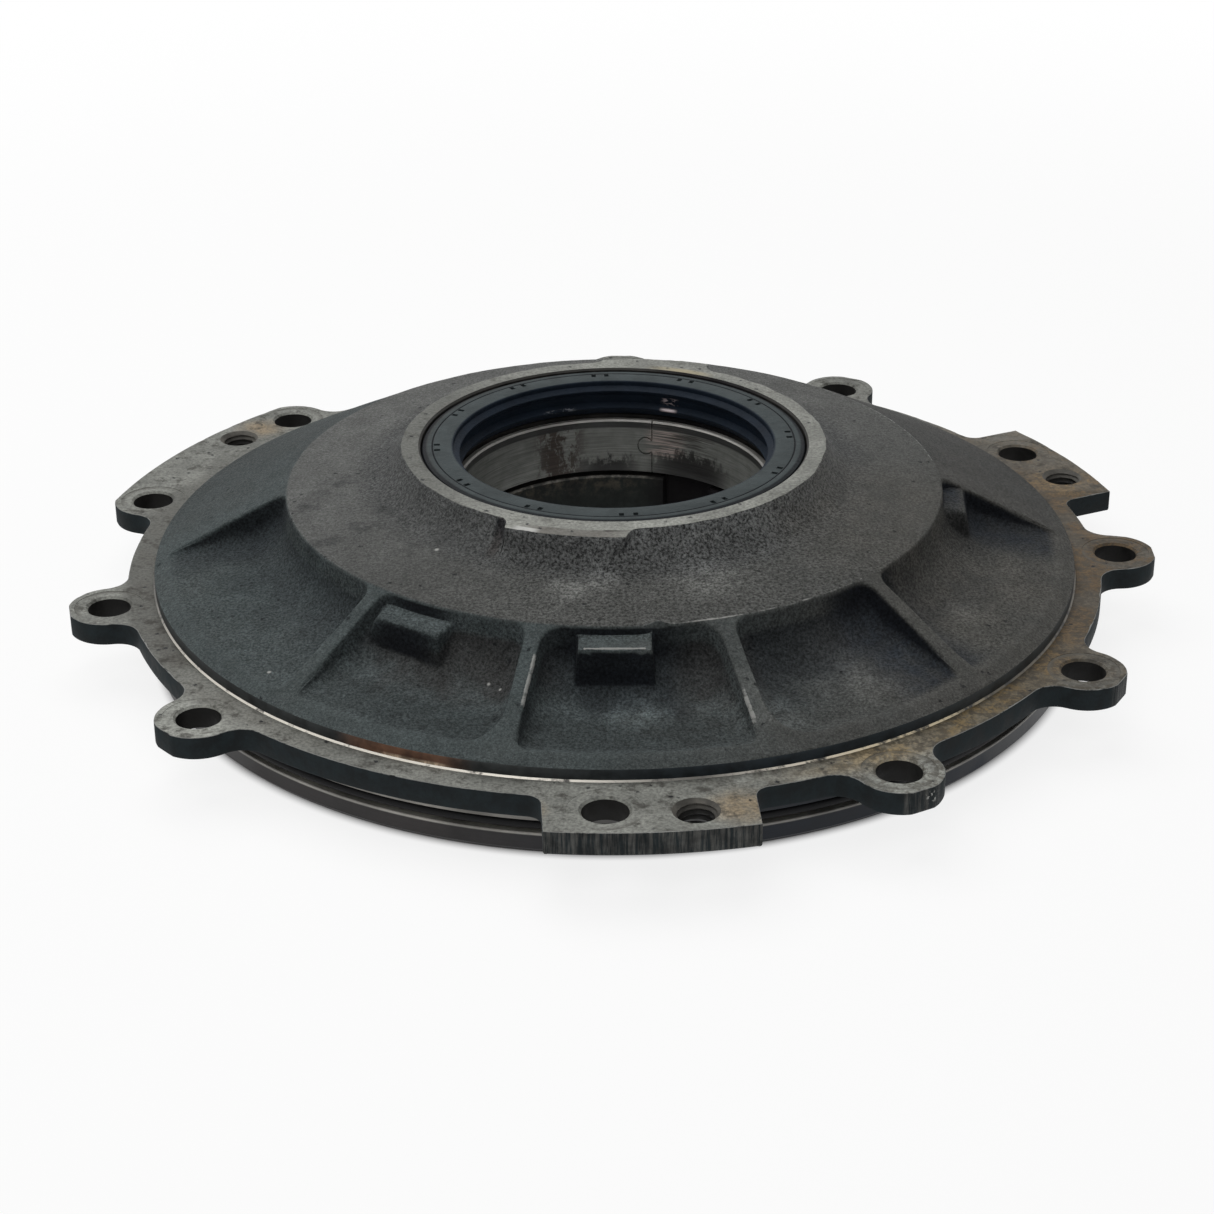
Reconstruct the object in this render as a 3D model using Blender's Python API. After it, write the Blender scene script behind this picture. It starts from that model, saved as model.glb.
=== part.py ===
"""Converter housing cover: a ribbed iron casting with its shaft seal, bush and spigot ring.

Metres, +Z up. The origin is on the shaft axis, in the plane of the spigot's foot.
+X runs through the bolt hole from which the angles of the bolt pattern are counted.
"""

import math

import bmesh
import bpy

MM = 0.001

# Clearances
FIT_GAP = 0.3 * MM
RUNNING_GAP = 0.1 * MM
LAND_GAP = 0.4 * MM

# Radial chain, from the shaft out to the flange's turned tips
SHAFT_DIA = 100.0 * MM
SEAL_SECTION = 12.5 * MM
HUB_WALL = 6.1 * MM
PLATEAU_LAND = 37.3 * MM
DOME_RUN = 44.1 * MM
SHOULDER_STEP = 1.0 * MM
BOLT_LAND = 14.0 * MM
RIM_SETBACK = 6.2 * MM

# Height chain, from the spigot's foot up to the hub's face
SPIGOT_DEPTH = 16.5 * MM
FLANGE_THICKNESS = 7.5 * MM
SHOULDER_HEIGHT = 4.0 * MM
DOME_RISE = 22.5 * MM
HUB_RISE = 13.5 * MM

# Bolt holes in ears and pads: seven at an even pitch on the right, four on the left
RIGHT_PITCH_ANGLE = 30.0
LEFT_PITCH_ANGLE = 28.8
BOLT_HOLE_DIA = 13.5 * MM
SPOT_FACE_LAND = 4.75 * MM
SPOT_FACE_DEPTH = 0.4 * MM
EAR_WALL = 6.25 * MM
EAR_FILLET = 8.0 * MM
TIP_CUT = 0.5 * MM
SQUARE_PAD_WIDTH = 60.0 * MM
SQUARE_PAD_FILLET = 5.0 * MM

# Tapped jacking holes in the pads, each this far round from its pad's bolt hole
PAD_TAP_ANGLE = 8.6
TAP_OFFSET = 2.2 * MM
TAP_DRILL_DIA = 10.2 * MM
TAP_CHAMFER = 1.5 * MM

# Hub and plateau
PLATEAU_SLOPE_ANGLE = 8.0
HUB_DRAFT_ANGLE = 25.0
HUB_FILLET = 12.0 * MM
BOSS_REACH = 5.8 * MM
BOSS_DRAFT_ANGLE = 8.0
BOSS_FILLET = 6.0 * MM
BOSS_ANGLES = (244.0, 274.4)
BOSS_STEP_ANGLE = 0.5
EDGE_BREAK = 0.6 * MM

# Pockets sunk in the front of the dome, and the ribs left between them
RIB_AXIS_ANGLE = 273.5
RIB_OFFSET_ANGLES = (-87.5, -44.0, -15.0, 15.0, 44.0, 87.5)
RIB_WIDTH = 5.0 * MM
RIB_TOP_FLARE = 5.0 * MM
RIB_FOOT_FLARE = 9.0 * MM
FLANK_DRAFT_ANGLE = 11.3
FLANK_FILLET = 4.5 * MM
POCKET_LIP = 0.4 * MM
POCKET_WALL_DRAFT_ANGLE = 10.0
POCKET_COVE = 16.0 * MM
POCKET_FLOOR_ANGLE = 8.0
POCKET_RIM_LAND = 6.4 * MM
POCKET_BANK = 3.0 * MM

# Cast lumps against the pocket walls
LUMP_ANGLES = (238.2, 271.0, 357.0)
LUMP_WIDTHS = (24.0 * MM, 21.5 * MM, 20.0 * MM)
LUMP_REACH = 8.2 * MM
LUMP_TOP_DROP = 2.6 * MM
LUMP_LEAN = 1.4 * MM
LUMP_HEIGHT = 17.0 * MM
LUMP_ROOT = 6.0 * MM
LUMP_DRAFT = 1.0 * MM
LUMP_BEVEL = 1.6 * MM

# Spigot, and the hollow underside with the hub's foot
SPIGOT_WALL = 12.0 * MM
FOOT_CHAMFER = 1.5 * MM
ROOF_SLOPE_ANGLE = 20.0
ROOF_SETBACK = 2.5 * MM
ROOF_FILLET = 6.0 * MM
HUB_FOOT_HEIGHT = 8.0 * MM
HUB_FOOT_WALL = 17.0 * MM
HUB_FOOT_CHAMFER = 1.5 * MM

# Bush and the bore under it
BUSH_WALL = 2.5 * MM
BUSH_LENGTH = 19.0 * MM
BUSH_CHAMFER = 1.0 * MM
BUSH_TOP_DROP = 1.3 * MM
BUSH_RELIEF = 2.0 * MM
DRAIN_ANGLE = 61.0
DRAIN_WIDTH = 18.0 * MM
DRAIN_DEPTH = 4.0 * MM

# Shaft seal: rubber on a steel case, with a garter spring behind its main lip
SEAL_WIDTH = 12.0 * MM
SEAL_RECESS = 0.4 * MM
SEAL_SKIN = 0.9 * MM
SEAL_FACE = 2.0 * MM
SEAL_MOUTH_GAP = 1.9 * MM
SEAL_LIP_GRIP = 0.3 * MM
SEAL_LIP_HEIGHT = 3.0 * MM
CASE_SHEET = 1.0 * MM
CASE_NECK = 2.0 * MM
SPRING_DIA = 2.0 * MM

# Ring in the spigot's groove
RING_CORD_DIA = 2.65 * MM
GROOVE_LAND = 5.6 * MM
GROOVE_SLACK = 1.35 * MM
GROOVE_SPARE = 0.15 * MM

# Facets
REAR_STEP_ANGLE = 7.5
POCKET_STEP_ANGLE = 6.0
TIP_STEP_ANGLE = 4.0
RIM_STEP_ANGLE = 5.0
HOLE_STEPS = 20
RING_STEPS = 48
CORD_STEPS = 6
EAR_STEPS = 4
ROOT_STEPS = 3
FILLET_STEPS = 2
COVE_STEPS = 5
FLOOR_SHARES = (0.45, 0.8, 1.0)
BANK_SHARES = (0.5, 0.85, 1.0)
FLANK_SHARES = ((0.0, 0.0), (0.45, 0.75), (1.0, 1.0))
FILLET_LEG_SHARE = 0.9
SMOOTH_ANGLE = 35.0

# Angles of the bolt holes, and which of them lie in an ear, a square pad or the long pad
RIGHT_HOLES = tuple(RIGHT_PITCH_ANGLE * i for i in range(-3, 4))
LEFT_HOLES = tuple(180.0 + LEFT_PITCH_ANGLE * (i - 1.5) for i in range(4))
FRONT_PAD_HOLE, RIGHT_PAD_HOLE = RIGHT_HOLES[0], RIGHT_HOLES[4]
EAR_HOLES = tuple(a for a in RIGHT_HOLES + LEFT_HOLES[2:] if a not in (FRONT_PAD_HOLE, RIGHT_PAD_HOLE))
LONG_PAD_HOLES = LEFT_HOLES[:2]
SQUARE_PADS = ((FRONT_PAD_HOLE, FRONT_PAD_HOLE + PAD_TAP_ANGLE),
               (RIGHT_PAD_HOLE, RIGHT_PAD_HOLE - PAD_TAP_ANGLE))
TAP_HOLES = (LONG_PAD_HOLES[0] + PAD_TAP_ANGLE,) + tuple(tap for _, tap in SQUARE_PADS)

# Radii that several pieces share
SHAFT_R = SHAFT_DIA / 2
SEAL_SEAT_R = SHAFT_R + SEAL_SECTION
HUB_R = SEAL_SEAT_R + HUB_WALL
PLATEAU_R = HUB_R + PLATEAU_LAND
SHOULDER_R = PLATEAU_R + DOME_RUN
POCKET_END_R = SHOULDER_R - POCKET_RIM_LAND
SPIGOT_R = SHOULDER_R + SHOULDER_STEP
SPIGOT_INNER_R = SPIGOT_R - SPIGOT_WALL
BOLT_R = SPIGOT_R + BOLT_LAND
RIM_R = BOLT_R - RIM_SETBACK
EAR_RADIUS = BOLT_HOLE_DIA / 2 + EAR_WALL
TIP_MARGIN = EAR_RADIUS - TIP_CUT
TIP_R = BOLT_R + TIP_MARGIN
TAP_R = BOLT_R + TAP_OFFSET
BUSH_BORE_R = SHAFT_R + RUNNING_GAP
BUSH_R = BUSH_BORE_R + BUSH_WALL
BUSH_SEAT_R = BUSH_R + FIT_GAP
LAND_R = SHAFT_R + LAND_GAP
HUB_FOOT_R = BUSH_SEAT_R + HUB_FOOT_WALL
GROOVE_R = SPIGOT_R - RING_CORD_DIA - GROOVE_SPARE

# Heights that several pieces share
FLANGE_UNDER = SPIGOT_DEPTH
FLANGE_TOP = FLANGE_UNDER + FLANGE_THICKNESS
SHOULDER_TOP = FLANGE_TOP + SHOULDER_HEIGHT
PLATEAU_TOP = SHOULDER_TOP + DOME_RISE
HUB_TOP = PLATEAU_TOP + HUB_RISE
SEAL_TOP = HUB_TOP - SEAL_RECESS
SEAL_FOOT = SEAL_TOP - SEAL_WIDTH
SHELF = SEAL_FOOT - FIT_GAP
BUSH_TOP = SHELF - BUSH_TOP_DROP
BUSH_FOOT = BUSH_TOP - BUSH_LENGTH
LEDGE = BUSH_FOOT - BUSH_RELIEF
GROOVE_TOP = FLANGE_UNDER - GROOVE_LAND
GROOVE_FOOT = GROOVE_TOP - RING_CORD_DIA - GROOVE_SLACK

# Places inside the seal
SEAL_R = SEAL_SEAT_R - FIT_GAP
SKIN_R = SEAL_R - SEAL_SKIN
CASE_R = SKIN_R - FIT_GAP
MOUTH_R = SHAFT_R + SEAL_MOUTH_GAP
LIP_R = SHAFT_R - SEAL_LIP_GRIP
SPRING_R = MOUTH_R + SPRING_DIA / 2 + 2 * FIT_GAP
NECK_R = SPRING_R + FIT_GAP
CASE_INNER_R = NECK_R + CASE_NECK
CASE_TOP = SEAL_TOP - SEAL_FACE - FIT_GAP
LIP_Z = SEAL_FOOT + SEAL_LIP_HEIGHT


# Plane geometry

def tangent(degrees):
    return math.tan(math.radians(degrees))


def crossing(wall_r, wall_z, wall_draft, slope_r, slope_z, slope):
    """Where a drafted wall going down and out meets a slope that falls outwards."""
    lean, fall = tangent(wall_draft), tangent(slope)
    z = (slope_z + (slope_r - wall_r - wall_z * lean) * fall) / (1 - lean * fall)
    return wall_r + (wall_z - z) * lean, z


def rounded_corner(before, corner, after, radius, steps):
    """Arc that rounds a corner of an outline, held within its two legs."""
    to_before = [b - c for b, c in zip(before, corner)]
    to_after = [a - c for a, c in zip(after, corner)]
    leg_before, leg_after = math.hypot(*to_before), math.hypot(*to_after)
    u = [v / leg_before for v in to_before]
    w = [v / leg_after for v in to_after]
    half = math.acos(max(-1.0, min(1.0, u[0] * w[0] + u[1] * w[1]))) / 2
    reach = min(radius / math.tan(half), FILLET_LEG_SHARE * min(leg_before, leg_after))
    radius = reach * math.tan(half)
    bisector = [u[0] + w[0], u[1] + w[1]]
    scale = radius / math.sin(half) / math.hypot(*bisector)
    center = [c + b * scale for c, b in zip(corner, bisector)]
    start = math.atan2(corner[1] + u[1] * reach - center[1], corner[0] + u[0] * reach - center[0])
    end = math.atan2(corner[1] + w[1] * reach - center[1], corner[0] + w[0] * reach - center[0])
    turn = (end - start + math.pi) % math.tau - math.pi
    return arc(center, radius, start, start + turn, steps)


def arc(center, radius, start, end, steps):
    points = []
    for i in range(steps + 1):
        a = start + (end - start) * i / steps
        points.append((center[0] + radius * math.cos(a), center[1] + radius * math.sin(a)))
    return points


def turned(point, degrees):
    a = math.radians(degrees)
    x, y = point
    return x * math.cos(a) - y * math.sin(a), x * math.sin(a) + y * math.cos(a)


# Dome sections

def cone_height(r):
    """Height of the plain cone, which is also the ribs' crest."""
    share = (r - PLATEAU_R) / (SHOULDER_R - PLATEAU_R)
    return PLATEAU_TOP - share * DOME_RISE


def pocket_section():
    """Pocket floor from the plateau's edge to the shoulder: wall, cove, floor, level bank and rim band."""
    edge = (PLATEAU_R, PLATEAU_TOP)
    lip = (PLATEAU_R + POCKET_LIP, cone_height(PLATEAU_R + POCKET_LIP))
    rim = (POCKET_END_R, cone_height(POCKET_END_R))
    bank = (rim[0] - POCKET_BANK, rim[1])
    corner = crossing(*lip, POCKET_WALL_DRAFT_ANGLE, *bank, POCKET_FLOOR_ANGLE)
    cove = rounded_corner(lip, corner, bank, POCKET_COVE, COVE_STEPS)
    section = [edge, lip] + cove
    last_r, last_z = cove[-1]
    for share in FLOOR_SHARES:
        section.append((last_r + (bank[0] - last_r) * share, last_z + (bank[1] - last_z) * share))
    section += [(bank[0] + POCKET_BANK * share, rim[1]) for share in BANK_SHARES]
    return section + [(SHOULDER_R - EDGE_BREAK, SHOULDER_TOP)]


POCKET_SECTION = pocket_section()


def pocket_depth(r):
    """Depth of the pocket floor under the cone, read along its section."""
    for (r0, z0), (r1, z1) in zip(POCKET_SECTION, POCKET_SECTION[1:]):
        if r0 <= r <= r1:
            floor = z0 + (z1 - z0) * (r - r0) / (r1 - r0)
            return max(0.0, cone_height(r) - floor)
    return 0.0


def hub_section(outer_r, draft, fillet):
    """Outside of the hub from its machined face down to the plateau."""
    break_r, break_z = outer_r + EDGE_BREAK, HUB_TOP - EDGE_BREAK
    edge = (PLATEAU_R, PLATEAU_TOP)
    corner = crossing(break_r, break_z, draft, *edge, PLATEAU_SLOPE_ANGLE)
    blend = rounded_corner((break_r, break_z), corner, edge, fillet, FILLET_STEPS + 1)
    middle = ((blend[-1][0] + edge[0]) / 2, (blend[-1][1] + edge[1]) / 2)
    return [(outer_r, HUB_TOP), (break_r, break_z)] + blend + [middle]


def spigot_section():
    """Outside of the shoulder and spigot, down to the foot."""
    hidden_z = FLANGE_TOP - FLANGE_THICKNESS / 2
    return [
        (SHOULDER_R, SHOULDER_TOP - EDGE_BREAK),
        (SHOULDER_R, hidden_z),
        (SPIGOT_R, hidden_z),
        (SPIGOT_R, GROOVE_TOP),
        (GROOVE_R, GROOVE_TOP),
        (GROOVE_R, GROOVE_FOOT),
        (SPIGOT_R, GROOVE_FOOT),
        (SPIGOT_R, FOOT_CHAMFER),
        (SPIGOT_R - FOOT_CHAMFER, 0.0),
    ]


def underside_section():
    """Foot ring, hollow roof and hub foot, seen from below."""
    foot = (SPIGOT_INNER_R, 0.0)
    roof_edge = (SPIGOT_INNER_R, FLANGE_UNDER - ROOF_SETBACK)
    roof_z = roof_edge[1] + (SPIGOT_INNER_R - HUB_FOOT_R) * tangent(ROOF_SLOPE_ANGLE)
    roof_hub = (HUB_FOOT_R, roof_z)
    hub_edge = (HUB_FOOT_R, HUB_FOOT_HEIGHT + HUB_FOOT_CHAMFER)
    section = [foot]
    section += rounded_corner(foot, roof_edge, roof_hub, ROOF_FILLET, FILLET_STEPS)
    section += rounded_corner(roof_edge, roof_hub, hub_edge, ROOF_FILLET, FILLET_STEPS)
    section += [hub_edge, (HUB_FOOT_R - HUB_FOOT_CHAMFER, HUB_FOOT_HEIGHT)]
    return section


def bore_section():
    """Bore from the hub foot up to the seal's seat."""
    return [
        (LAND_R + EDGE_BREAK, HUB_FOOT_HEIGHT),
        (LAND_R, HUB_FOOT_HEIGHT + EDGE_BREAK),
        (LAND_R, LEDGE - EDGE_BREAK),
        (LAND_R + EDGE_BREAK, LEDGE),
        (BUSH_SEAT_R, LEDGE),
        (BUSH_SEAT_R, SHELF - EDGE_BREAK),
        (BUSH_SEAT_R + EDGE_BREAK, SHELF),
        (SEAL_SEAT_R, SHELF),
        (SEAL_SEAT_R, HUB_TOP - EDGE_BREAK),
        (SEAL_SEAT_R + EDGE_BREAK, HUB_TOP),
    ]


# Columns of the casting: meridians that bend to follow the ribs

class Column:
    """One meridian: its angle at each radius, and how far it sinks into a pocket."""

    def __init__(self, angle_at, sink=0.0):
        self.angle_at = angle_at
        self.sink = sink

    def on_boss(self):
        start, end = BOSS_ANGLES
        return start <= math.degrees(self.angle_at(PLATEAU_R)) <= end


def plain_column(degrees):
    return Column(lambda r: math.radians(degrees))


def flare(distance, radius):
    """Widening of a rib at a distance from the end that it runs into."""
    rest = max(0.0, radius - max(0.0, distance))
    return radius - math.sqrt(radius * radius - rest * rest)


def flank_column(rib_degrees, side, half_width, reach, sink):
    """Meridian on a rib's flank: reach 0 is the crest's edge and 1 the pocket floor."""
    def angle_at(r):
        r = min(max(r, PLATEAU_R), SHOULDER_R)
        depth = pocket_depth(r)
        run = depth * tangent(FLANK_DRAFT_ANGLE) + min(depth / 2, FLANK_FILLET)
        width = half_width + flare(r - PLATEAU_R, RIB_TOP_FLARE)
        width += flare(POCKET_END_R - r, RIB_FOOT_FLARE) + reach * run
        return math.radians(rib_degrees) + side * width / r
    return Column(angle_at, sink)


def flank(rib_degrees, side, half_width):
    """Three meridians down one flank, from the crest's edge to the floor."""
    return [flank_column(rib_degrees, side, half_width, *shares) for shares in FLANK_SHARES]


def floor_columns(first, last):
    """Meridians across a pocket floor, with a pair at each end of the hub's boss."""
    start = math.degrees(first.angle_at(PLATEAU_R))
    end = math.degrees(last.angle_at(PLATEAU_R))
    count = round((end - start) / POCKET_STEP_ANGLE)
    edges = []
    for boss_end, outward in zip(BOSS_ANGLES, (-1, 1)):
        edges += [boss_end, boss_end + outward * BOSS_STEP_ANGLE]
    angles = [a for a in edges if start < a < end]
    for i in range(1, count):
        angle = start + (end - start) * i / count
        if all(abs(angle - a) > POCKET_STEP_ANGLE / 3 for a in edges):
            angles.append(angle)
    columns = []
    for angle in sorted(angles):
        share = (angle - start) / (end - start)
        columns.append(Column(
            lambda r, s=share: first.angle_at(r) + s * (last.angle_at(r) - first.angle_at(r)), 1.0))
    return columns


def casting_columns():
    """All meridians in turn: five pockets with their ribs, then the plain rear cone."""
    ribs = [RIB_AXIS_ANGLE + offset for offset in RIB_OFFSET_ANGLES]
    columns = []
    for rib, following in zip(ribs, ribs[1:]):
        down = flank(rib, 1, 0.0 if rib == ribs[0] else RIB_WIDTH / 2)
        up = flank(following, -1, 0.0 if following == ribs[-1] else RIB_WIDTH / 2)[::-1]
        columns += down + floor_columns(down[-1], up[0]) + up
    rear = ribs[0] + 360.0 - ribs[-1]
    count = round(rear / REAR_STEP_ANGLE)
    columns += [plain_column(ribs[-1] + rear * i / count) for i in range(1, count)]
    return columns


def between(a, b, share):
    return [p + (q - p) * share for p, q in zip(a, b)]


def casting_loft():
    """Closed skin of the casting without its flange: every column carries the same rows."""
    hub = hub_section(HUB_R, HUB_DRAFT_ANGLE, HUB_FILLET)
    boss = hub_section(HUB_R + BOSS_REACH, BOSS_DRAFT_ANGLE, BOSS_FILLET)
    rest = spigot_section() + underside_section() + bore_section()
    mesh = bmesh.new()
    rings = []
    for column in casting_columns():
        share = 1.0 if column.on_boss() else 0.0
        rows = [between(h, b, share) for h, b in zip(hub, boss)]
        for r, floor in POCKET_SECTION:
            rows.append((r, cone_height(r) + (floor - cone_height(r)) * column.sink))
        rows += rest
        ring = []
        for r, z in rows:
            a = column.angle_at(r)
            ring.append(mesh.verts.new((r * math.cos(a), r * math.sin(a), z)))
        rings.append(ring)
    for ring, following in zip(rings, rings[1:] + rings[:1]):
        for i in range(len(ring)):
            j = (i + 1) % len(ring)
            mesh.faces.new((ring[i], ring[j], following[j], following[i]))
    return mesh


# Flange plate with its ears and pads

def ear_side():
    """Half of an ear, from its turned tip to the rim, about the X axis."""
    fillet_r = RIM_R + EAR_FILLET
    span = EAR_RADIUS + EAR_FILLET
    root = math.acos((BOLT_R ** 2 + fillet_r ** 2 - span ** 2) / (2 * BOLT_R * fillet_r))
    center = (fillet_r * math.cos(root), fillet_r * math.sin(root))
    side = math.atan2(center[1], center[0] - BOLT_R)
    tip = math.acos((TIP_MARGIN ** 2 + 2 * BOLT_R * TIP_MARGIN - EAR_RADIUS ** 2)
                    / (2 * BOLT_R * EAR_RADIUS)) if EAR_RADIUS > TIP_MARGIN else 0.0
    points = arc((BOLT_R, 0.0), EAR_RADIUS, tip, side, EAR_STEPS)
    points += arc(center, EAR_FILLET, side + math.pi, root + math.pi, ROOT_STEPS)[1:]
    return points


def pad_side():
    """Half of a square pad, from its turned corner to the rim, about the X axis."""
    half = SQUARE_PAD_WIDTH / 2
    y = half + SQUARE_PAD_FILLET
    x = math.sqrt((RIM_R + SQUARE_PAD_FILLET) ** 2 - y ** 2)
    corner = (math.sqrt(TIP_R ** 2 - half ** 2), half)
    root = math.atan2(y, x)
    return [corner] + arc((x, y), SQUARE_PAD_FILLET, -math.pi / 2, root - math.pi, ROOT_STEPS)


def lobe(first, last, side):
    """Outline of an ear or pad, from the rim out round its turned tip and back."""
    outline = [turned((x, -y), first) for x, y in reversed(side)]
    start = math.atan2(outline[-1][1], outline[-1][0])
    back = [turned(point, last) for point in side]
    span = (math.atan2(back[0][1], back[0][0]) - start) % math.tau
    steps = max(1, round(math.degrees(span) / TIP_STEP_ANGLE))
    return outline + arc((0.0, 0.0), TIP_R, start, start + span, steps)[1:-1] + back


def flange_outline():
    """Flange edge in plan, counter-clockwise, with arcs of the rim between its lobes."""
    lobes = [(angle, lobe(angle, angle, ear_side())) for angle in EAR_HOLES]
    for bolt, tap in SQUARE_PADS:
        axis = (bolt + tap) / 2
        lobes.append((axis, lobe(axis, axis, pad_side())))
    lobes.append((LONG_PAD_HOLES[0], lobe(*LONG_PAD_HOLES, ear_side())))
    lobes.sort()
    outline = []
    for (_, points), (_, following) in zip(lobes, lobes[1:] + lobes[:1]):
        start = math.atan2(points[-1][1], points[-1][0])
        span = (math.atan2(following[0][1], following[0][0]) - start) % math.tau
        steps = max(1, round(math.degrees(span) / RIM_STEP_ANGLE))
        outline += points + arc((0.0, 0.0), RIM_R, start, start + span, steps)[1:-1]
    return outline


def flange_plate():
    """Ring plate from inside the shoulder out to the flange's edge."""
    inner_r = SHOULDER_R - SPIGOT_WALL / 2
    mesh = bmesh.new()
    columns = []
    for x, y in flange_outline():
        scale = inner_r / math.hypot(x, y)
        corners = ((x, y, FLANGE_TOP), (x, y, FLANGE_UNDER),
                   (x * scale, y * scale, FLANGE_UNDER), (x * scale, y * scale, FLANGE_TOP))
        columns.append([mesh.verts.new(corner) for corner in corners])
    for column, following in zip(columns, columns[1:] + columns[:1]):
        for i in range(4):
            j = (i + 1) % 4
            mesh.faces.new((column[i], column[j], following[j], following[i]))
    return mesh


# Cutters and lumps

def add_turned_plug(mesh, x, y, section):
    """Solid of revolution about a vertical axis, from its top to its foot."""
    rings = []
    for r, z in section:
        rings.append([mesh.verts.new((x + r * math.cos(math.tau * i / HOLE_STEPS),
                                      y + r * math.sin(math.tau * i / HOLE_STEPS), z))
                      for i in range(HOLE_STEPS)])
    for upper, lower in zip(rings, rings[1:]):
        for i in range(HOLE_STEPS):
            j = (i + 1) % HOLE_STEPS
            mesh.faces.new((upper[i], lower[i], lower[j], upper[j]))
    mesh.faces.new(rings[0])
    mesh.faces.new(rings[-1][::-1])


def hole_cutters():
    """Bolt holes with their spot faces, and the chamfered tapped holes."""
    mesh = bmesh.new()
    above, below = FLANGE_TOP + SHOULDER_HEIGHT / 2, FLANGE_UNDER - FLANGE_THICKNESS / 2
    spot_z = FLANGE_TOP - SPOT_FACE_DEPTH
    hole_r, tap_r = BOLT_HOLE_DIA / 2, TAP_DRILL_DIA / 2
    spot_r = hole_r + SPOT_FACE_LAND
    bolt = [(spot_r, above), (spot_r, spot_z), (hole_r, spot_z), (hole_r, below)]
    tap = [(tap_r + TAP_CHAMFER + above - FLANGE_TOP, above),
           (tap_r, FLANGE_TOP - TAP_CHAMFER), (tap_r, below)]
    holes = ((RIGHT_HOLES + LEFT_HOLES, BOLT_R, bolt), (TAP_HOLES, TAP_R, tap))
    for angles, radius, section in holes:
        for angle in angles:
            add_turned_plug(mesh, *turned((radius, 0.0), angle), section)
    return mesh


def block(corners, degrees):
    """Eight-cornered block, lower four then upper four, turned about the shaft axis."""
    mesh = bmesh.new()
    verts = [mesh.verts.new((*turned((x, y), degrees), z)) for x, y, z in corners]
    for face in ((0, 3, 2, 1), (4, 5, 6, 7), (0, 1, 5, 4), (1, 2, 6, 5), (2, 3, 7, 6), (3, 0, 4, 7)):
        mesh.faces.new([verts[i] for i in face])
    return mesh


def drain_cutter():
    """Oil-return slot down one side of the bore under the bush."""
    near, far = LAND_R - DRAIN_DEPTH, LAND_R + DRAIN_DEPTH
    half = DRAIN_WIDTH / 2
    plan = ((near, -half), (far, -half), (far, half), (near, half))
    low, high = HUB_FOOT_HEIGHT - DRAIN_DEPTH, LEDGE + BUSH_RELIEF / 2
    return block([(x, y, low) for x, y in plan] + [(x, y, high) for x, y in plan], DRAIN_ANGLE)


def lump(degrees, width):
    """Cast lump standing out of a pocket's wall."""
    back, front = PLATEAU_R - LUMP_ROOT, PLATEAU_R + LUMP_REACH
    top = PLATEAU_TOP - LUMP_TOP_DROP
    low = top - LUMP_HEIGHT
    half = width / 2
    corners = [(back, -half - LUMP_DRAFT, low), (front + LUMP_DRAFT, -half - LUMP_DRAFT, low),
               (front + LUMP_DRAFT, half + LUMP_DRAFT, low), (back, half + LUMP_DRAFT, low),
               (back, -half, top), (front, -half, top - LUMP_LEAN),
               (front, half, top - LUMP_LEAN), (back, half, top)]
    mesh = block(corners, degrees)
    bmesh.ops.bevel(mesh, geom=mesh.edges[:], offset=LUMP_BEVEL, segments=FILLET_STEPS,
                    affect='EDGES', profile=0.5)
    return mesh


# Objects and materials

def material(name, color, roughness, metallic):
    made = bpy.data.materials.new(name)
    made.use_nodes = True
    shader = made.node_tree.nodes["Principled BSDF"]
    shader.inputs["Base Color"].default_value = (*color, 1.0)
    shader.inputs["Roughness"].default_value = roughness
    shader.inputs["Metallic"].default_value = metallic
    return made


def place(name, mesh, finish=None):
    """Object from a closed mesh with its faces pointing out."""
    bmesh.ops.recalc_face_normals(mesh, faces=mesh.faces[:])
    data = bpy.data.meshes.new(name)
    mesh.to_mesh(data)
    mesh.free()
    data.shade_smooth()
    data.set_sharp_from_angle(angle=math.radians(SMOOTH_ANGLE))
    placed = bpy.data.objects.new(name, data)
    bpy.context.scene.collection.objects.link(placed)
    if finish:
        data.materials.append(finish)
    return placed


def combine(target, name, mesh, operation):
    """Boolean of a hidden tool with the target."""
    tool = place(name, mesh)
    tool.hide_render = True
    tool.display_type = 'WIRE'
    step = target.modifiers.new(name, 'BOOLEAN')
    step.operation = operation
    step.solver = 'EXACT'
    step.object = tool


def spun_ring(name, section, steps, finish):
    """Ring turned from a closed section about the shaft axis."""
    mesh = bmesh.new()
    verts = [mesh.verts.new((r, 0.0, z)) for r, z in section]
    edges = [mesh.edges.new((a, b)) for a, b in zip(verts, verts[1:] + verts[:1])]
    bmesh.ops.spin(mesh, geom=verts + edges, cent=(0, 0, 0), axis=(0, 0, 1), angle=math.tau,
                   steps=steps, use_merge=True)
    return place(name, mesh, finish)


def cord_section(r, z, diameter):
    return arc((r, z), diameter / 2, 0.0, -math.tau, CORD_STEPS)[:-1]


# Sub-parts

def cover_casting():
    iron = material("cast_iron", (0.055, 0.058, 0.062), 0.62, 0.55)
    casting = place("cover_casting", casting_loft(), iron)
    combine(casting, "flange_plate", flange_plate(), 'UNION')
    for i, (angle, width) in enumerate(zip(LUMP_ANGLES, LUMP_WIDTHS), 1):
        combine(casting, f"cast_lump_{i}", lump(angle, width), 'UNION')
    combine(casting, "flange_holes", hole_cutters(), 'DIFFERENCE')
    combine(casting, "oil_drain", drain_cutter(), 'DIFFERENCE')


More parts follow.
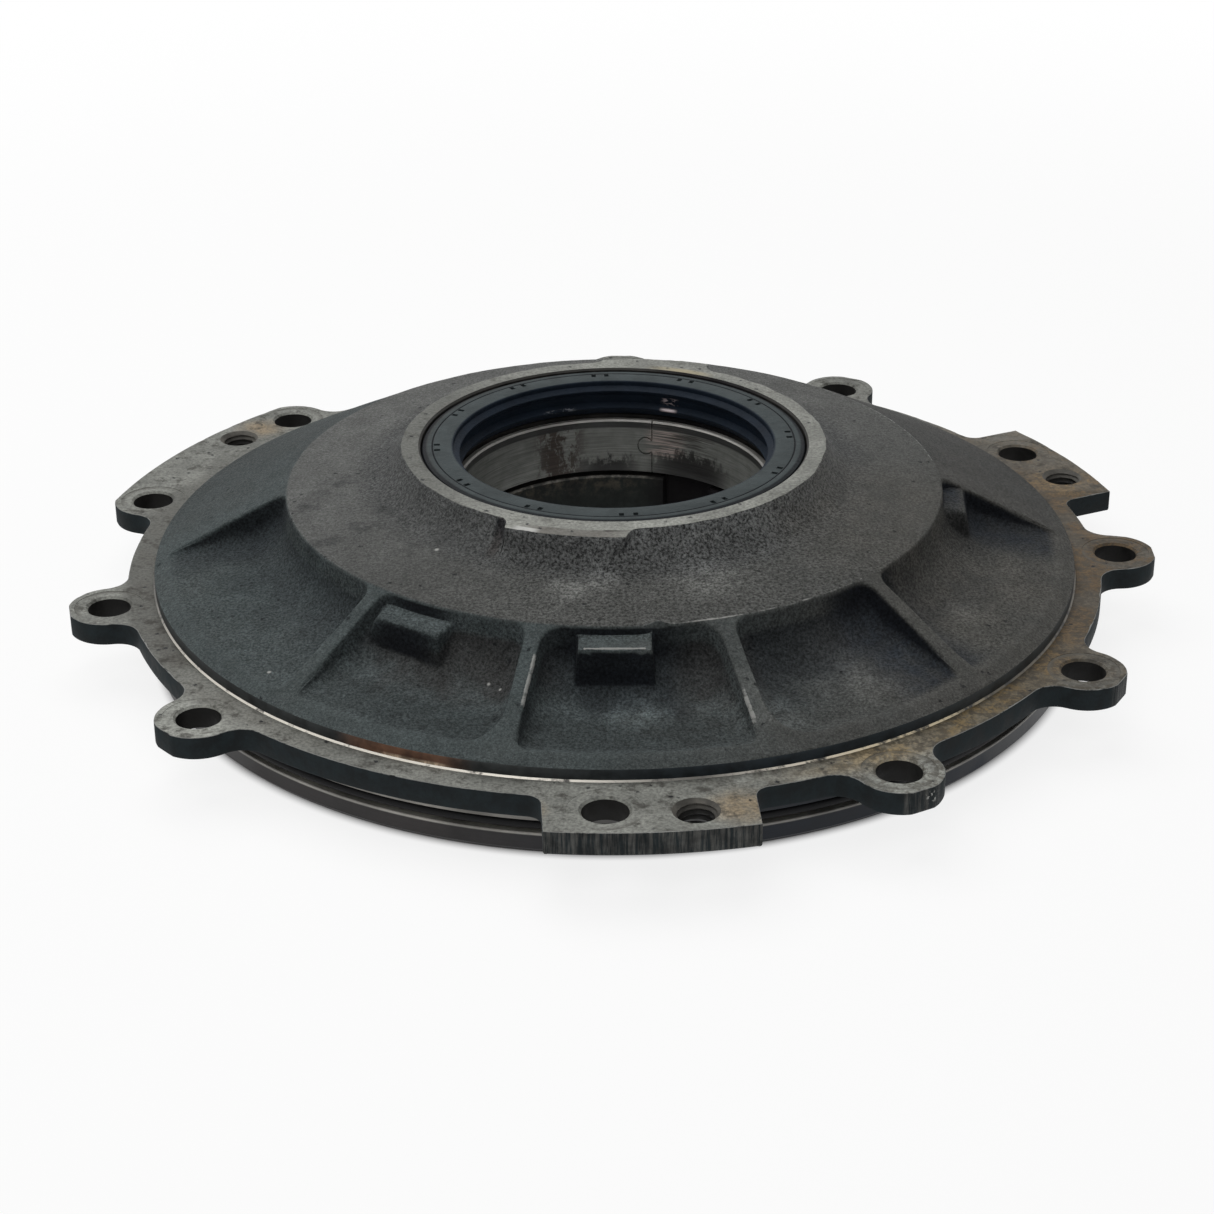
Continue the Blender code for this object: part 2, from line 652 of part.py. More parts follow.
def shaft_bush():
    bronze = material("bearing_metal", (0.30, 0.28, 0.25), 0.38, 0.9)
    section = [
        (BUSH_BORE_R + BUSH_CHAMFER, BUSH_TOP),
        (BUSH_R - BUSH_CHAMFER, BUSH_TOP),
        (BUSH_R, BUSH_TOP - BUSH_CHAMFER),
        (BUSH_R, BUSH_FOOT),
        (BUSH_BORE_R, BUSH_FOOT),
        (BUSH_BORE_R, BUSH_TOP - BUSH_CHAMFER),
    ]
    spun_ring("shaft_bush", section, RING_STEPS, bronze)


def seal_body():
    rubber = material("seal_rubber", (0.030, 0.036, 0.044), 0.42, 0.0)
    groove = SPRING_DIA / 2 + FIT_GAP
    section = [
        (MOUTH_R, SEAL_TOP),
        (SEAL_R - EDGE_BREAK, SEAL_TOP),
        (SEAL_R, SEAL_TOP - EDGE_BREAK),
        (SEAL_R, SEAL_FOOT),
        (SKIN_R, SEAL_FOOT),
        (SKIN_R, SEAL_TOP - SEAL_FACE),
        (CASE_INNER_R - FIT_GAP, SEAL_TOP - SEAL_FACE),
        (NECK_R, CASE_TOP - CASE_SHEET),
        (NECK_R, LIP_Z + 2 * groove),
        *arc((SPRING_R, LIP_Z), groove, math.pi / 2, 1.5 * math.pi, COVE_STEPS),
        (MOUTH_R, SEAL_FOOT + FIT_GAP),
        (LIP_R, LIP_Z),
        (MOUTH_R - FIT_GAP, LIP_Z + groove),
        (MOUTH_R - FIT_GAP, CASE_TOP - 2 * CASE_SHEET),
        (LIP_R, CASE_TOP - CASE_SHEET / 2),
        (MOUTH_R, SEAL_TOP - EDGE_BREAK),
    ]
    spun_ring("seal_body", section, RING_STEPS, rubber)


def seal_case():
    steel = material("case_steel", (0.35, 0.35, 0.36), 0.35, 1.0)
    foot = SEAL_FOOT + FIT_GAP
    section = [
        (CASE_INNER_R, CASE_TOP),
        (CASE_R, CASE_TOP),
        (CASE_R, foot),
        (CASE_R - CASE_SHEET, foot),
        (CASE_R - CASE_SHEET, CASE_TOP - CASE_SHEET),
        (CASE_INNER_R, CASE_TOP - CASE_SHEET),
    ]
    spun_ring("seal_case", section, RING_STEPS, steel)


def garter_spring():
    wire = material("spring_steel", (0.45, 0.45, 0.46), 0.3, 1.0)
    spun_ring("garter_spring", cord_section(SPRING_R, LIP_Z, SPRING_DIA), RING_STEPS, wire)


def spigot_ring():
    rubber = material("ring_rubber", (0.012, 0.012, 0.013), 0.5, 0.0)
    r = GROOVE_R + FIT_GAP + RING_CORD_DIA / 2
    z = GROOVE_TOP - FIT_GAP - RING_CORD_DIA / 2
    spun_ring("spigot_ring", cord_section(r, z, RING_CORD_DIA), RING_STEPS, rubber)


def main():
    for old in list(bpy.data.objects):
        bpy.data.objects.remove(old, do_unlink=True)
    cover_casting()
    shaft_bush()
    seal_body()
    seal_case()
    garter_spring()
    spigot_ring()


main()
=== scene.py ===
"""Looks of a converter housing cover: a sand-cast casting with turned faces, its seal, bush and rings."""

import math
from collections import namedtuple

import bmesh
import bpy
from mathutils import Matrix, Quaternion, Vector, noise
from mathutils.geometry import tessellate_polygon


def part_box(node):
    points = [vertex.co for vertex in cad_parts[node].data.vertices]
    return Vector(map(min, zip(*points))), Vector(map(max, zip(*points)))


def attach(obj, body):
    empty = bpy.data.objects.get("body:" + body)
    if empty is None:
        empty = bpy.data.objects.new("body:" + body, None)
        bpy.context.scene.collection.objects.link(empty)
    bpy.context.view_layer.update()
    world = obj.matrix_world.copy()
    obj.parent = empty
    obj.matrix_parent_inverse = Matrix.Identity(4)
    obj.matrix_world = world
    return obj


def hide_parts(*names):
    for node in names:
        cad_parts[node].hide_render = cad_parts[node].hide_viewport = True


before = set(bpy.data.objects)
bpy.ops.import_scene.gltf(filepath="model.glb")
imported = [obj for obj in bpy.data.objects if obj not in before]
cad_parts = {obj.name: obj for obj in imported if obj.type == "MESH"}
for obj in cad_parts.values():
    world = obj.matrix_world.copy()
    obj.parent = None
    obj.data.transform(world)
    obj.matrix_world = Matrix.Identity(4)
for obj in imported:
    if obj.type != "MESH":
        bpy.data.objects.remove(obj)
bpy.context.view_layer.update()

MM = 0.001

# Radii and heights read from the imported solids
CASTING_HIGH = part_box("cover_casting")[1]
SEAL_LOW, SEAL_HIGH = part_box("seal_body")
BUSH_LOW, BUSH_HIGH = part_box("shaft_bush")
RING_LOW, RING_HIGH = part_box("spigot_ring")
SPRING_LOW, SPRING_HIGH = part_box("garter_spring")
TIP_R = CASTING_HIGH.x
HUB_TOP = CASTING_HIGH.z
SEAL_R, SEAL_TOP, SEAL_FOOT = SEAL_HIGH.x, SEAL_HIGH.z, SEAL_LOW.z
BUSH_R, BUSH_TOP, BUSH_FOOT = BUSH_HIGH.x, BUSH_HIGH.z, BUSH_LOW.z

# Radii of the casting
FIT_GAP = 0.3 * MM
SHAFT_R = 50.0 * MM
LAND_R = SHAFT_R + 0.4 * MM
BUSH_SEAT_R = BUSH_R + FIT_GAP
SEAL_SEAT_R = SEAL_R + FIT_GAP
HUB_R = SEAL_SEAT_R + 6.1 * MM
PLATEAU_R = HUB_R + 37.3 * MM
SHOULDER_R = PLATEAU_R + 44.1 * MM
SPIGOT_R = SHOULDER_R + 1.0 * MM
SPIGOT_INNER_R = SPIGOT_R - 12.0 * MM
BOLT_R = SPIGOT_R + 14.0 * MM
RIM_R = BOLT_R - 6.2 * MM
TAP_R = BOLT_R + 2.2 * MM
HUB_FOOT_R = BUSH_SEAT_R + 17.0 * MM
GROOVE_R = SPIGOT_R - 2.8 * MM

# Heights of the casting
FLANGE_UNDER = 16.5 * MM
FLANGE_TOP = FLANGE_UNDER + 7.5 * MM
SHOULDER_TOP = FLANGE_TOP + 4.0 * MM
PLATEAU_TOP = SHOULDER_TOP + 22.5 * MM
SHELF = SEAL_FOOT - FIT_GAP
LEDGE = BUSH_FOOT - 2.0 * MM
GROOVE_TOP = FLANGE_UNDER - 5.6 * MM
GROOVE_FOOT = GROOVE_TOP - 4.0 * MM
HUB_FOOT = 8.0 * MM

# Hub, plateau and boss
PLATEAU_SLOPE = 8.0
HUB_DRAFT = 25.0
HUB_FILLET = 12.0 * MM
BOSS_REACH = 5.8 * MM
REAR_BOSS_REACH = (0.95, 0.42)
BOSS_DRAFT = 8.0
BOSS_FILLET = 6.0 * MM
BOSSES = ((244.0, 274.4, (1.0, 1.0)), (64.0, 94.4, REAR_BOSS_REACH))
BOSS_BLEND = 0.9
BOSS_RUN_OUT = 6.0
BOSS_END_FILLET = 4.2 * MM
BOSS_SHADOW_ANGLE = 2.3
BOSS_SHADOW = 0.085
EDGE_ROUND = 0.6 * MM

# Ribs and pockets
RIBS = tuple(273.5 + offset for offset in (-87.5, -44.0, -15.0, 15.0, 44.0, 87.5))
RIB_WIDTH = 5.0 * MM
RIB_TOP_FLARE, RIB_FOOT_FLARE = 5.0 * MM, 13.0 * MM
OPEN_FOOT_FLARE = 3.0 * MM
MIDDLE_TOP_FLARE, MIDDLE_FOOT_FLARE = 7.0 * MM, 3.5 * MM
MIDDLE_POCKET = ((RIBS[2], 1), (RIBS[3], -1))
CLOSED_SIDES = MIDDLE_POCKET + ((RIBS[2], -1), (RIBS[3], 1))
CREST_ROUND = 0.8 * MM
FLANK_DRAFT = 12.0
FLANK_FILLET = 9.0 * MM
FLANK_FILLET_SHARE = 0.7
POCKET_LIP = 0.4 * MM
POCKET_WALL_DRAFT = 10.0
POCKET_COVE = 16.0 * MM
POCKET_FLOOR_SLOPE = 8.0
POCKET_RIM_LAND = 4.6 * MM
POCKET_RIM_ROUND = 3.0 * MM
POCKET_BANK_ROUND = 8.0 * MM
CLOSED_BANK, CLOSED_DIP = 4.5 * MM, 1.6 * MM
OPEN_BANK, OPEN_DIP = 1.2 * MM, 0.0
POCKET_END_R = SHOULDER_R - POCKET_RIM_LAND
POCKET_FULL_DEPTH = 15.0 * MM

# Crest edges that are worn bright: rib, side, and where along the rib
WORN_CRESTS = ((RIBS[2], 1, 0.24, 0.68), (RIBS[3], -1, 0.56, 0.86))
CREST_WEAR = 1.12

# Cast lumps against the pocket walls
Lump = namedtuple("Lump", "angle width drop round")
LUMPS = (Lump(238.2, 24.0 * MM, 3.6 * MM, 0.7 * MM), Lump(271.0, 21.5 * MM, 2.5 * MM, 0.12 * MM),
         Lump(357.0, 20.0 * MM, 3.6 * MM, 0.8 * MM))
LUMP_FRONT = PLATEAU_R + 8.4 * MM
LUMP_LEAN = 0.12
LUMP_SKIRT = 0.55 * MM
LUMP_FOOT, LUMP_FOOT_SHARE = 2.4 * MM, 0.3
BRIGHT_LUMP = LUMPS[1]
BRIGHT_EDGE = 0.7 * MM
LUMP_WEAR = 1.4

# Plateau's edge: the burr left on it, and stretches that are worn bright as (angle, half width, wear)
BURR_ANGLE = 277.9
BURR_SIZE = 1.5 * MM
EDGE_WEAR = 0.72
WORN_EDGES = ((30.0, 30.0, 0.98), (287.5, 4.5, 1.2), (280.0, 5.0, 1.0), (305.0, 16.0, 0.9),
              (205.0, 24.0, 0.85))

# Underside and oil-return slot
ROOF_SLOPE = 20.0
ROOF_SETBACK = 2.5 * MM
ROOF_FILLET = 6.0 * MM
CHAMFER = 1.5 * MM
SLOT_ANGLE = 61.0
SLOT_HALF_ANGLE = 10.2
SLOT_DEPTH = 4.0 * MM

# Flange
RIGHT_HOLES = tuple(30.0 * i for i in range(-3, 4))
LEFT_HOLES = tuple(180.0 + 28.8 * (i - 1.5) for i in range(4))
FRONT_PAD, RIGHT_PAD = RIGHT_HOLES[0], RIGHT_HOLES[4]
LONG_PAD = LEFT_HOLES[:2]
PAD_TAP = 8.6
TAPPED_HOLES = (LONG_PAD[0] + PAD_TAP, FRONT_PAD + PAD_TAP, RIGHT_PAD - PAD_TAP)
EAR_RADIUS = 13.0 * MM
EAR_FILLET = 8.0 * MM
PAD_WIDTH = 60.0 * MM
PAD_FILLET = 5.0 * MM
HOLE_R = 6.75 * MM
SPOT_R = 11.0 * MM
SPOT_DEPTH = 0.12 * MM
HOLE_CHAMFER = 0.7 * MM
HOLE_FOOT_BREAK = 0.1 * MM
THREAD_MINOR_R = 5.1 * MM
THREAD_DEPTH = 0.9 * MM
THREAD_PITCH = 1.75 * MM
THREAD_MOUTH_R = 6.8 * MM
SIDE_BREAK = 0.4 * MM
SIDE_FOOT_BREAK = 0.9 * MM
FOOT_LINE = 0.5 * MM

# Cast skin: waviness of its surface
WAVE_LENGTH, WAVE_HEIGHT = 16.0 * MM, 0.16 * MM
RIPPLE_LENGTH, RIPPLE_HEIGHT = 3.4 * MM, 0.07 * MM

# Mesh density
FLOOR_STEP = 1.0
REAR_STEP = 1.6
OUTLINE_STEP = 1.3 * MM
HOLE_STEPS = 40
THREAD_ROWS = 34
RING_STEPS = 240
COLUMN_SPREAD = 0.12 * MM


# Plane geometry

def tangent(degrees):
    return math.tan(math.radians(degrees))


def arc(center, radius, start, end, steps):
    """Points along an arc, angles in radians."""
    turns = [start + (end - start) * i / steps for i in range(steps + 1)]
    return [(center[0] + radius * math.cos(a), center[1] + radius * math.sin(a)) for a in turns]


def rounded_corner(before, corner, after, radius, steps):
    """Arc that rounds a corner of an outline, held within its two legs."""
    before, corner, after = Vector(before), Vector(corner), Vector(after)
    u, w = (before - corner), (after - corner)
    half = u.angle(w) / 2
    reach = min(radius / math.tan(half), 0.95 * min(u.length, w.length))
    u.normalize()
    w.normalize()
    radius = reach * math.tan(half)
    center = corner + (u + w).normalized() * radius / math.sin(half)
    first, last = corner + u * reach - center, corner + w * reach - center
    start = math.atan2(first.y, first.x)
    turn = (math.atan2(last.y, last.x) - start + math.pi) % math.tau - math.pi
    return arc(center, radius, start, start + turn, steps)


def straight(first, last, steps):
    """Points between two ends, without the first."""
    return [(first[0] + (last[0] - first[0]) * i / steps, first[1] + (last[1] - first[1]) * i / steps)
            for i in range(1, steps + 1)]


def smoothstep(low, high, x):
    t = max(0.0, min(1.0, (x - low) / (high - low)))
    return t * t * (3 - 2 * t)


def turned(point, degrees):
    a = math.radians(degrees)
    x, y = point
    return x * math.cos(a) - y * math.sin(a), x * math.sin(a) + y * math.cos(a)


def crossing(wall, draft, slope_point, slope):
    """Where a drafted wall going down and out meets a slope that falls outwards."""
    lean, fall = tangent(draft), tangent(slope)
    z = slope_point[1] + (slope_point[0] - wall[0] - wall[1] * lean) * fall
    z /= 1 - lean * fall
    return wall[0] + (wall[1] - z) * lean, z


# Mesh that is gathered loop by loop

class Skin:
    """Points, faces and paint of one closed mesh."""

    def __init__(self):
        self.points, self.faces, self.finishes = [], [], []
        self.paint = {"wear": [], "depth": [], "cast": []}

    def loop(self, points, cast=0.0, wear=0.0, depth=0.0):
        """Adds a loop of points and gives their numbers; paint is one value or one per point."""
        start = len(self.points)
        self.points += [tuple(p) for p in points]
        for name, value in (("cast", cast), ("wear", wear), ("depth", depth)):
            self.paint[name] += list(value) if hasattr(value, "__len__") else [value] * len(points)
        return list(range(start, len(self.points)))

    def bridge(self, first, second, finish):
        """Quads between two closed loops of as many points."""
        for i in range(len(first)):
            j = (i + 1) % len(first)
            self.faces.append((first[i], first[j], second[j], second[i]))
            self.finishes.append(finish)

    def fill(self, loops, finish):
        """Flat face inside the first loop and outside the others."""
        numbers = [n for loop in loops for n in loop]
        outlines = [[Vector(self.points[n]) for n in loop] for loop in loops]
        for triangle in tessellate_polygon(outlines):
            self.faces.append(tuple(numbers[i] for i in triangle))
            self.finishes.append(finish)

    def mesh(self, name, finishes):
        """Closed mesh with outward faces, its paint as attributes and its cast skin made wavy."""
        made = bpy.data.meshes.new(name)
        made.from_pydata(self.points, [], self.faces)
        for finish in finishes:
            made.materials.append(finish)
        made.polygons.foreach_set("material_index", self.finishes)
        for paint, values in self.paint.items():
            made.attributes.new(paint, 'FLOAT', 'POINT').data.foreach_set("value", values)
        face_out(made)
        normals = [vertex.normal.copy() for vertex in made.vertices]
        for vertex, normal, cast in zip(made.vertices, normals, self.paint["cast"]):
            if cast > 0:
                vertex.co += normal * cast * cast_height(vertex.co)
        smooth(made)
        return made


def cast_height(place):
    """Unevenness of a sand-cast skin."""
    wave = noise.noise(place / WAVE_LENGTH) * WAVE_HEIGHT
    return wave + noise.noise(place / RIPPLE_LENGTH) * RIPPLE_HEIGHT


def face_out(mesh):
    """Turns every face of a closed mesh outwards."""
    work = bmesh.new()
    work.from_mesh(mesh)
    bmesh.ops.recalc_face_normals(work, faces=work.faces[:])
    work.to_mesh(mesh)
    work.free()


def smooth(mesh, angle=38.0):
    mesh.shade_smooth()
    mesh.set_sharp_from_angle(angle=math.radians(angle))


def show(name, mesh, slot, *nodes):
    """Piece that stands for CAD nodes and rides on the one body."""
    piece = bpy.data.objects.new(name, mesh)
    bpy.context.scene.collection.objects.link(piece)
    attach(piece, "root")
    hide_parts(*nodes)
    return piece


# Dome of the casting

def cone_height(r):
    """Height of the plain cone, which is also the ribs' crest."""
    share = (r - PLATEAU_R) / (SHOULDER_R - PLATEAU_R)
    return PLATEAU_TOP - share * (PLATEAU_TOP - SHOULDER_TOP)


def pocket_line(length, dip):
    """Section of a pocket from plateau to shoulder, as (radius, height); its floor ends in a bank."""
    lip_r = PLATEAU_R + POCKET_LIP
    lip = (lip_r, cone_height(lip_r))
    rim = (POCKET_END_R, cone_height(POCKET_END_R))
    toe = (POCKET_END_R - length, rim[1] - dip)
    corner = crossing(lip, POCKET_WALL_DRAFT, toe, POCKET_FLOOR_SLOPE)
    shoulder = (SHOULDER_R - EDGE_ROUND, SHOULDER_TOP)
    edge = rounded_corner((PLATEAU_R, PLATEAU_TOP), lip, corner, EDGE_ROUND, 3)
    cove = rounded_corner(lip, corner, toe, POCKET_COVE, 16)
    bank = rounded_corner(cove[-1], toe, rim, POCKET_BANK_ROUND, 3)
    bend = rounded_corner(toe, rim, shoulder, POCKET_RIM_ROUND, 4)
    line = [(PLATEAU_R, PLATEAU_TOP)] + edge
    line += straight(edge[-1], cove[0], 4)[:-1] + cove + straight(cove[-1], bank[0], 11)[:-1]
    return line + bank + straight(bank[-1], bend[0], 2)[:-1] + bend + straight(bend[-1], shoulder, 3)


CLOSED_LINE = pocket_line(CLOSED_BANK, CLOSED_DIP)
OPEN_LINE = pocket_line(OPEN_BANK, OPEN_DIP)


def pocket_depth(r, line):
    """How far a pocket's floor lies under the cone."""
    for (r0, z0), (r1, z1) in zip(line, line[1:]):
        if r <= r1:
            return max(0.0, cone_height(r) - z0 - (z1 - z0) * max(0.0, r - r0) / max(r1 - r0, 1e-9))
    return 0.0


def dome_radii():
    """Radii of the dome's rows: the pocket's own points, and close rows down the lumps' fronts."""
    radii = [r for r, _ in CLOSED_LINE]
    extra = [LUMP_FRONT + 0.35 * MM * i for i in range(-3, 12)]
    gap = 0.15 * MM
    return sorted(radii + [r for r in extra if all(abs(r - known) > gap for known in radii)])


def flare(distance, radius):
    """Widening of a rib at a distance from the end that it runs into."""
    rest = max(0.0, radius - max(0.0, distance))
    return radius - math.sqrt(radius * radius - rest * rest)


def flank_profile(depth):
    """A rib's flank from its crest's edge down to the floor, as (reach, drop, wear)."""
    edge, foot = min(CREST_ROUND, depth / 4), min(FLANK_FILLET, depth * FLANK_FILLET_SHARE)
    wall = depth - edge - foot
    reach = wall * tangent(FLANK_DRAFT)
    profile = []
    for i in range(4):
        a = math.pi / 2 * i / 3
        profile.append((edge * (math.sin(a) - 1), edge * (1 - math.cos(a)), 1.0))
    for share in (0.2, 0.5, 0.75, 1.0):
        profile.append((reach * share, edge + wall * share, max(0.0, 0.85 - share)))
    for i in range(1, 7):
        a = math.pi / 2 * i / 6
        profile.append((reach + foot * (1 - math.cos(a)), edge + wall + foot * math.sin(a), 0.0))
    return profile


class Point:
    """Where one column crosses one row of the dome."""

    def __init__(self, angle, drop, wear):
        self.angle, self.drop, self.wear = angle, drop, wear


def worn_crest(rib, side, r):
    """How bright the edge of a rib's crest is worn at a radius."""
    share = (r - PLATEAU_R) / (POCKET_END_R - PLATEAU_R)
    for worn_rib, worn_side, start, end in WORN_CRESTS:
        if (worn_rib, worn_side) == (rib, side):
            begun = smoothstep(start - 0.1, start + 0.06, share)
            ended = smoothstep(end - 0.06, end + 0.1, share)
            return CREST_WEAR * begun * (1 - ended)
    return 0.0


def flank_row(rib, side, half_width, r):
    """Points of one flank at one radius, from the crest's edge to the floor."""
    closed = (rib, side) in CLOSED_SIDES
    depth = pocket_depth(r, CLOSED_LINE if closed else OPEN_LINE)
    top, foot = RIB_TOP_FLARE, RIB_FOOT_FLARE if closed else OPEN_FOOT_FLARE
    if (rib, side) in MIDDLE_POCKET:
        top, foot = MIDDLE_TOP_FLARE, MIDDLE_FOOT_FLARE
    width = half_width + flare(r - PLATEAU_R, top) + flare(POCKET_END_R - r, foot)
    spread = COLUMN_SPREAD * max(0.0, 1 - depth / FLANK_FILLET)
    edged = max(0.5 * smoothstep(0.4 * MM, 2.0 * MM, depth), worn_crest(rib, side, r))
    points = []
    for i, (reach, drop, wear) in enumerate(flank_profile(depth)):
        offset = (width + reach + spread * i) / r
        points.append(Point(math.radians(rib) + side * offset, drop, wear * edged))
    return points


def between(first, last, shares):
    turn, fall = last.angle - first.angle, last.drop - first.drop
    return [Point(first.angle + turn * s, first.drop + fall * smoothstep(0, 1, s), 0.0) for s in shares]


def even_shares(first, last, step, extras):
    """Shares of the way between two angles, an even set and close ones at the given angles."""
    count = max(2, round((last - first) / step))
    inside = [a for a in extras if first + 0.1 < a < last - 0.1]
    even = [first + (last - first) * i / count for i in range(1, count)]
    close = 0.3 * step
    kept = [a for a in even if all(abs(a - e) > close for e in inside)]
    return [(a - first) / (last - first) for a in sorted(kept + inside)]


def close_angles():
    """Angles where columns lie close: the lumps' sides, the boss's ends and the slot's sides."""
    angles = []
    for lump in LUMPS:
        half = math.degrees(lump.width / 2 / LUMP_FRONT)
        for side in (-1, 1):
            angles += [lump.angle + side * (half + 0.22 * i) for i in range(-5, 8)]
    for start, finish, _ in BOSSES:
        for end, side in ((start, -1), (finish, 1)):
            angles += [end + 360 * turn + side * BOSS_BLEND * i / 3
                       for turn in (0, 1) for i in range(-3, 13)]
    for side in (-1, 1):
        angles += [SLOT_ANGLE + 360 * turn + side * SLOT_HALF_ANGLE + 0.1 * end
                   for turn in (0, 1) for end in (-1, 1)]
    return angles


def dome_rows(radii):
    """Every row of the dome: its points in turn, five pockets with their ribs, then the rear cone."""
    half_widths = [0.0] + [RIB_WIDTH / 2] * 4 + [0.0]
    crest_shares = (0.25, 0.5, 0.75)
    pocket_shares = None
    rows = []
    for r in radii:
        downs = [flank_row(rib, 1, half, r) for rib, half in zip(RIBS[:-1], half_widths)]
        ups = [flank_row(rib, -1, half, r)[::-1] for rib, half in zip(RIBS[1:], half_widths[1:])]
        if pocket_shares is None:
            ends = [(math.degrees(d[-1].angle), math.degrees(u[0].angle)) for d, u in zip(downs, ups)]
            pocket_shares = [even_shares(*end, FLOOR_STEP, close_angles()) for end in ends]
            rear = (math.degrees(ups[-1][-1].angle), math.degrees(downs[0][0].angle) + 360)
            rear_shares = even_shares(*rear, REAR_STEP, close_angles())
        row = []
        for i, (down, up) in enumerate(zip(downs, ups)):
            row += down + between(down[-1], up[0], pocket_shares[i]) + up
            if i < len(downs) - 1:
                row += between(up[-1], downs[i + 1][0], crest_shares)
        home = Point(downs[0][0].angle + math.tau, 0.0, 0.0)
        rows.append(row + between(row[-1], home, rear_shares))
    return rows


def soft(x, radius):
    """Positive part of a number, rounded at zero."""
    return (x + math.sqrt(x * x + radius * radius)) / 2


def lumped(r, angle, bare):
    """Height of the dome with a cast lump grown out of it; the lump's sides run out in a hollow foot."""
    height = bare
    for lump in LUMPS:
        turn = angle - math.radians(lump.angle)
        ahead, side = r * math.cos(turn), abs(r * math.sin(turn))
        if ahead > 0 and side < lump.width:
            fall = math.hypot(soft(ahead - LUMP_FRONT, lump.round), soft(side - lump.width / 2, lump.round))
            top = PLATEAU_TOP - lump.drop - LUMP_LEAN * (ahead - PLATEAU_R)
            skirt = LUMP_SKIRT + lump.round / 2
            share = max(math.exp(-(fall / skirt) ** 1.5), LUMP_FOOT_SHARE * math.exp(-fall / LUMP_FOOT))
            height = max(height, bare + max(0.0, top - bare) * share)
    return height


def lump_edge(r, angle):
    """How bright the front edge of one lump is worn."""
    width = BRIGHT_LUMP.width
    turn = angle - math.radians(BRIGHT_LUMP.angle)
    ahead, side = r * math.cos(turn), abs(r * math.sin(turn))
    inside = 1 - smoothstep(0.39 * width, 0.47 * width, side)
    away = abs(ahead - LUMP_FRONT + BRIGHT_EDGE)
    return LUMP_WEAR * inside * (1 - smoothstep(0.4 * BRIGHT_EDGE, BRIGHT_EDGE, away))


def edge_wear(angle):
    """How bright the plateau's edge is worn."""
    wear = EDGE_WEAR
    for worn_angle, half_width, worn in WORN_EDGES:
        away = abs((math.degrees(angle) - worn_angle + 180) % 360 - 180)
        wear = max(wear, worn * (1 - smoothstep(0.6 * half_width, 1.2 * half_width, away)))
    return wear


def burr_height(r, angle):
    """Small lip of metal left on the plateau's edge."""
    away = math.hypot(r - PLATEAU_R - BURR_SIZE / 3, r * (angle - math.radians(BURR_ANGLE)) / 1.7)
    return BURR_SIZE * math.exp(-(away / BURR_SIZE) ** 2)


# Turned and cast sections of the casting

def hub_line(outer_r, draft, fillet):
    """Outside of the hub from its machined face down to the plateau's edge."""
    side = (outer_r + EDGE_ROUND / 2, HUB_TOP - EDGE_ROUND)
    edge = (PLATEAU_R, PLATEAU_TOP)
    corner = crossing(side, draft, edge, PLATEAU_SLOPE)
    top = (outer_r - 2 * EDGE_ROUND, HUB_TOP)
    shoulder = rounded_corner(top, (outer_r, HUB_TOP), corner, EDGE_ROUND, 3)
    foot = rounded_corner(shoulder[-1], corner, edge, fillet, 12)
    slope = straight(shoulder[-1], foot[0], 4)[:-1]
    return shoulder + slope + foot + straight(foot[-1], edge, 14)[:-1]


def spigot_line():
    """Spigot from the flange's underside down to its foot, with the ring's groove."""
    lip = 0.2 * MM
    return [
        (SPIGOT_R + FOOT_LINE, FLANGE_UNDER),
        (SPIGOT_R, FLANGE_UNDER - FOOT_LINE),
        (SPIGOT_R, (FLANGE_UNDER + GROOVE_TOP) / 2),
        (SPIGOT_R, GROOVE_TOP + lip),
        (SPIGOT_R - lip, GROOVE_TOP),
        (GROOVE_R + lip, GROOVE_TOP),
        (GROOVE_R, GROOVE_TOP - lip),
        (GROOVE_R, GROOVE_FOOT + lip),
        (GROOVE_R + lip, GROOVE_FOOT),
        (SPIGOT_R - lip, GROOVE_FOOT),
        (SPIGOT_R, GROOVE_FOOT - lip),
        (SPIGOT_R, (GROOVE_FOOT + CHAMFER) / 2),
        (SPIGOT_R, CHAMFER + lip),
        (SPIGOT_R - CHAMFER, 0.0),
    ]


def underside_line():
    """Foot ring, hollow roof and hub foot, going inwards."""
    foot = (SPIGOT_INNER_R, 0.0)
    roof_edge = (SPIGOT_INNER_R, FLANGE_UNDER - ROOF_SETBACK)
    roof_hub = (HUB_FOOT_R, roof_edge[1] + (SPIGOT_INNER_R - HUB_FOOT_R) * tangent(ROOF_SLOPE))
    hub_edge = (HUB_FOOT_R, HUB_FOOT + CHAMFER)
    outer = rounded_corner(foot, roof_edge, roof_hub, ROOF_FILLET, 5)
    inner = rounded_corner(roof_edge, roof_hub, hub_edge, ROOF_FILLET, 5)
    line = [(foot[0] + CHAMFER / 3, 0.0), (foot[0], CHAMFER / 3)] + outer
    line += straight(outer[-1], inner[0], 7)[:-1] + inner
    return line + straight(inner[-1], hub_edge, 3) + [(HUB_FOOT_R - CHAMFER, HUB_FOOT)]


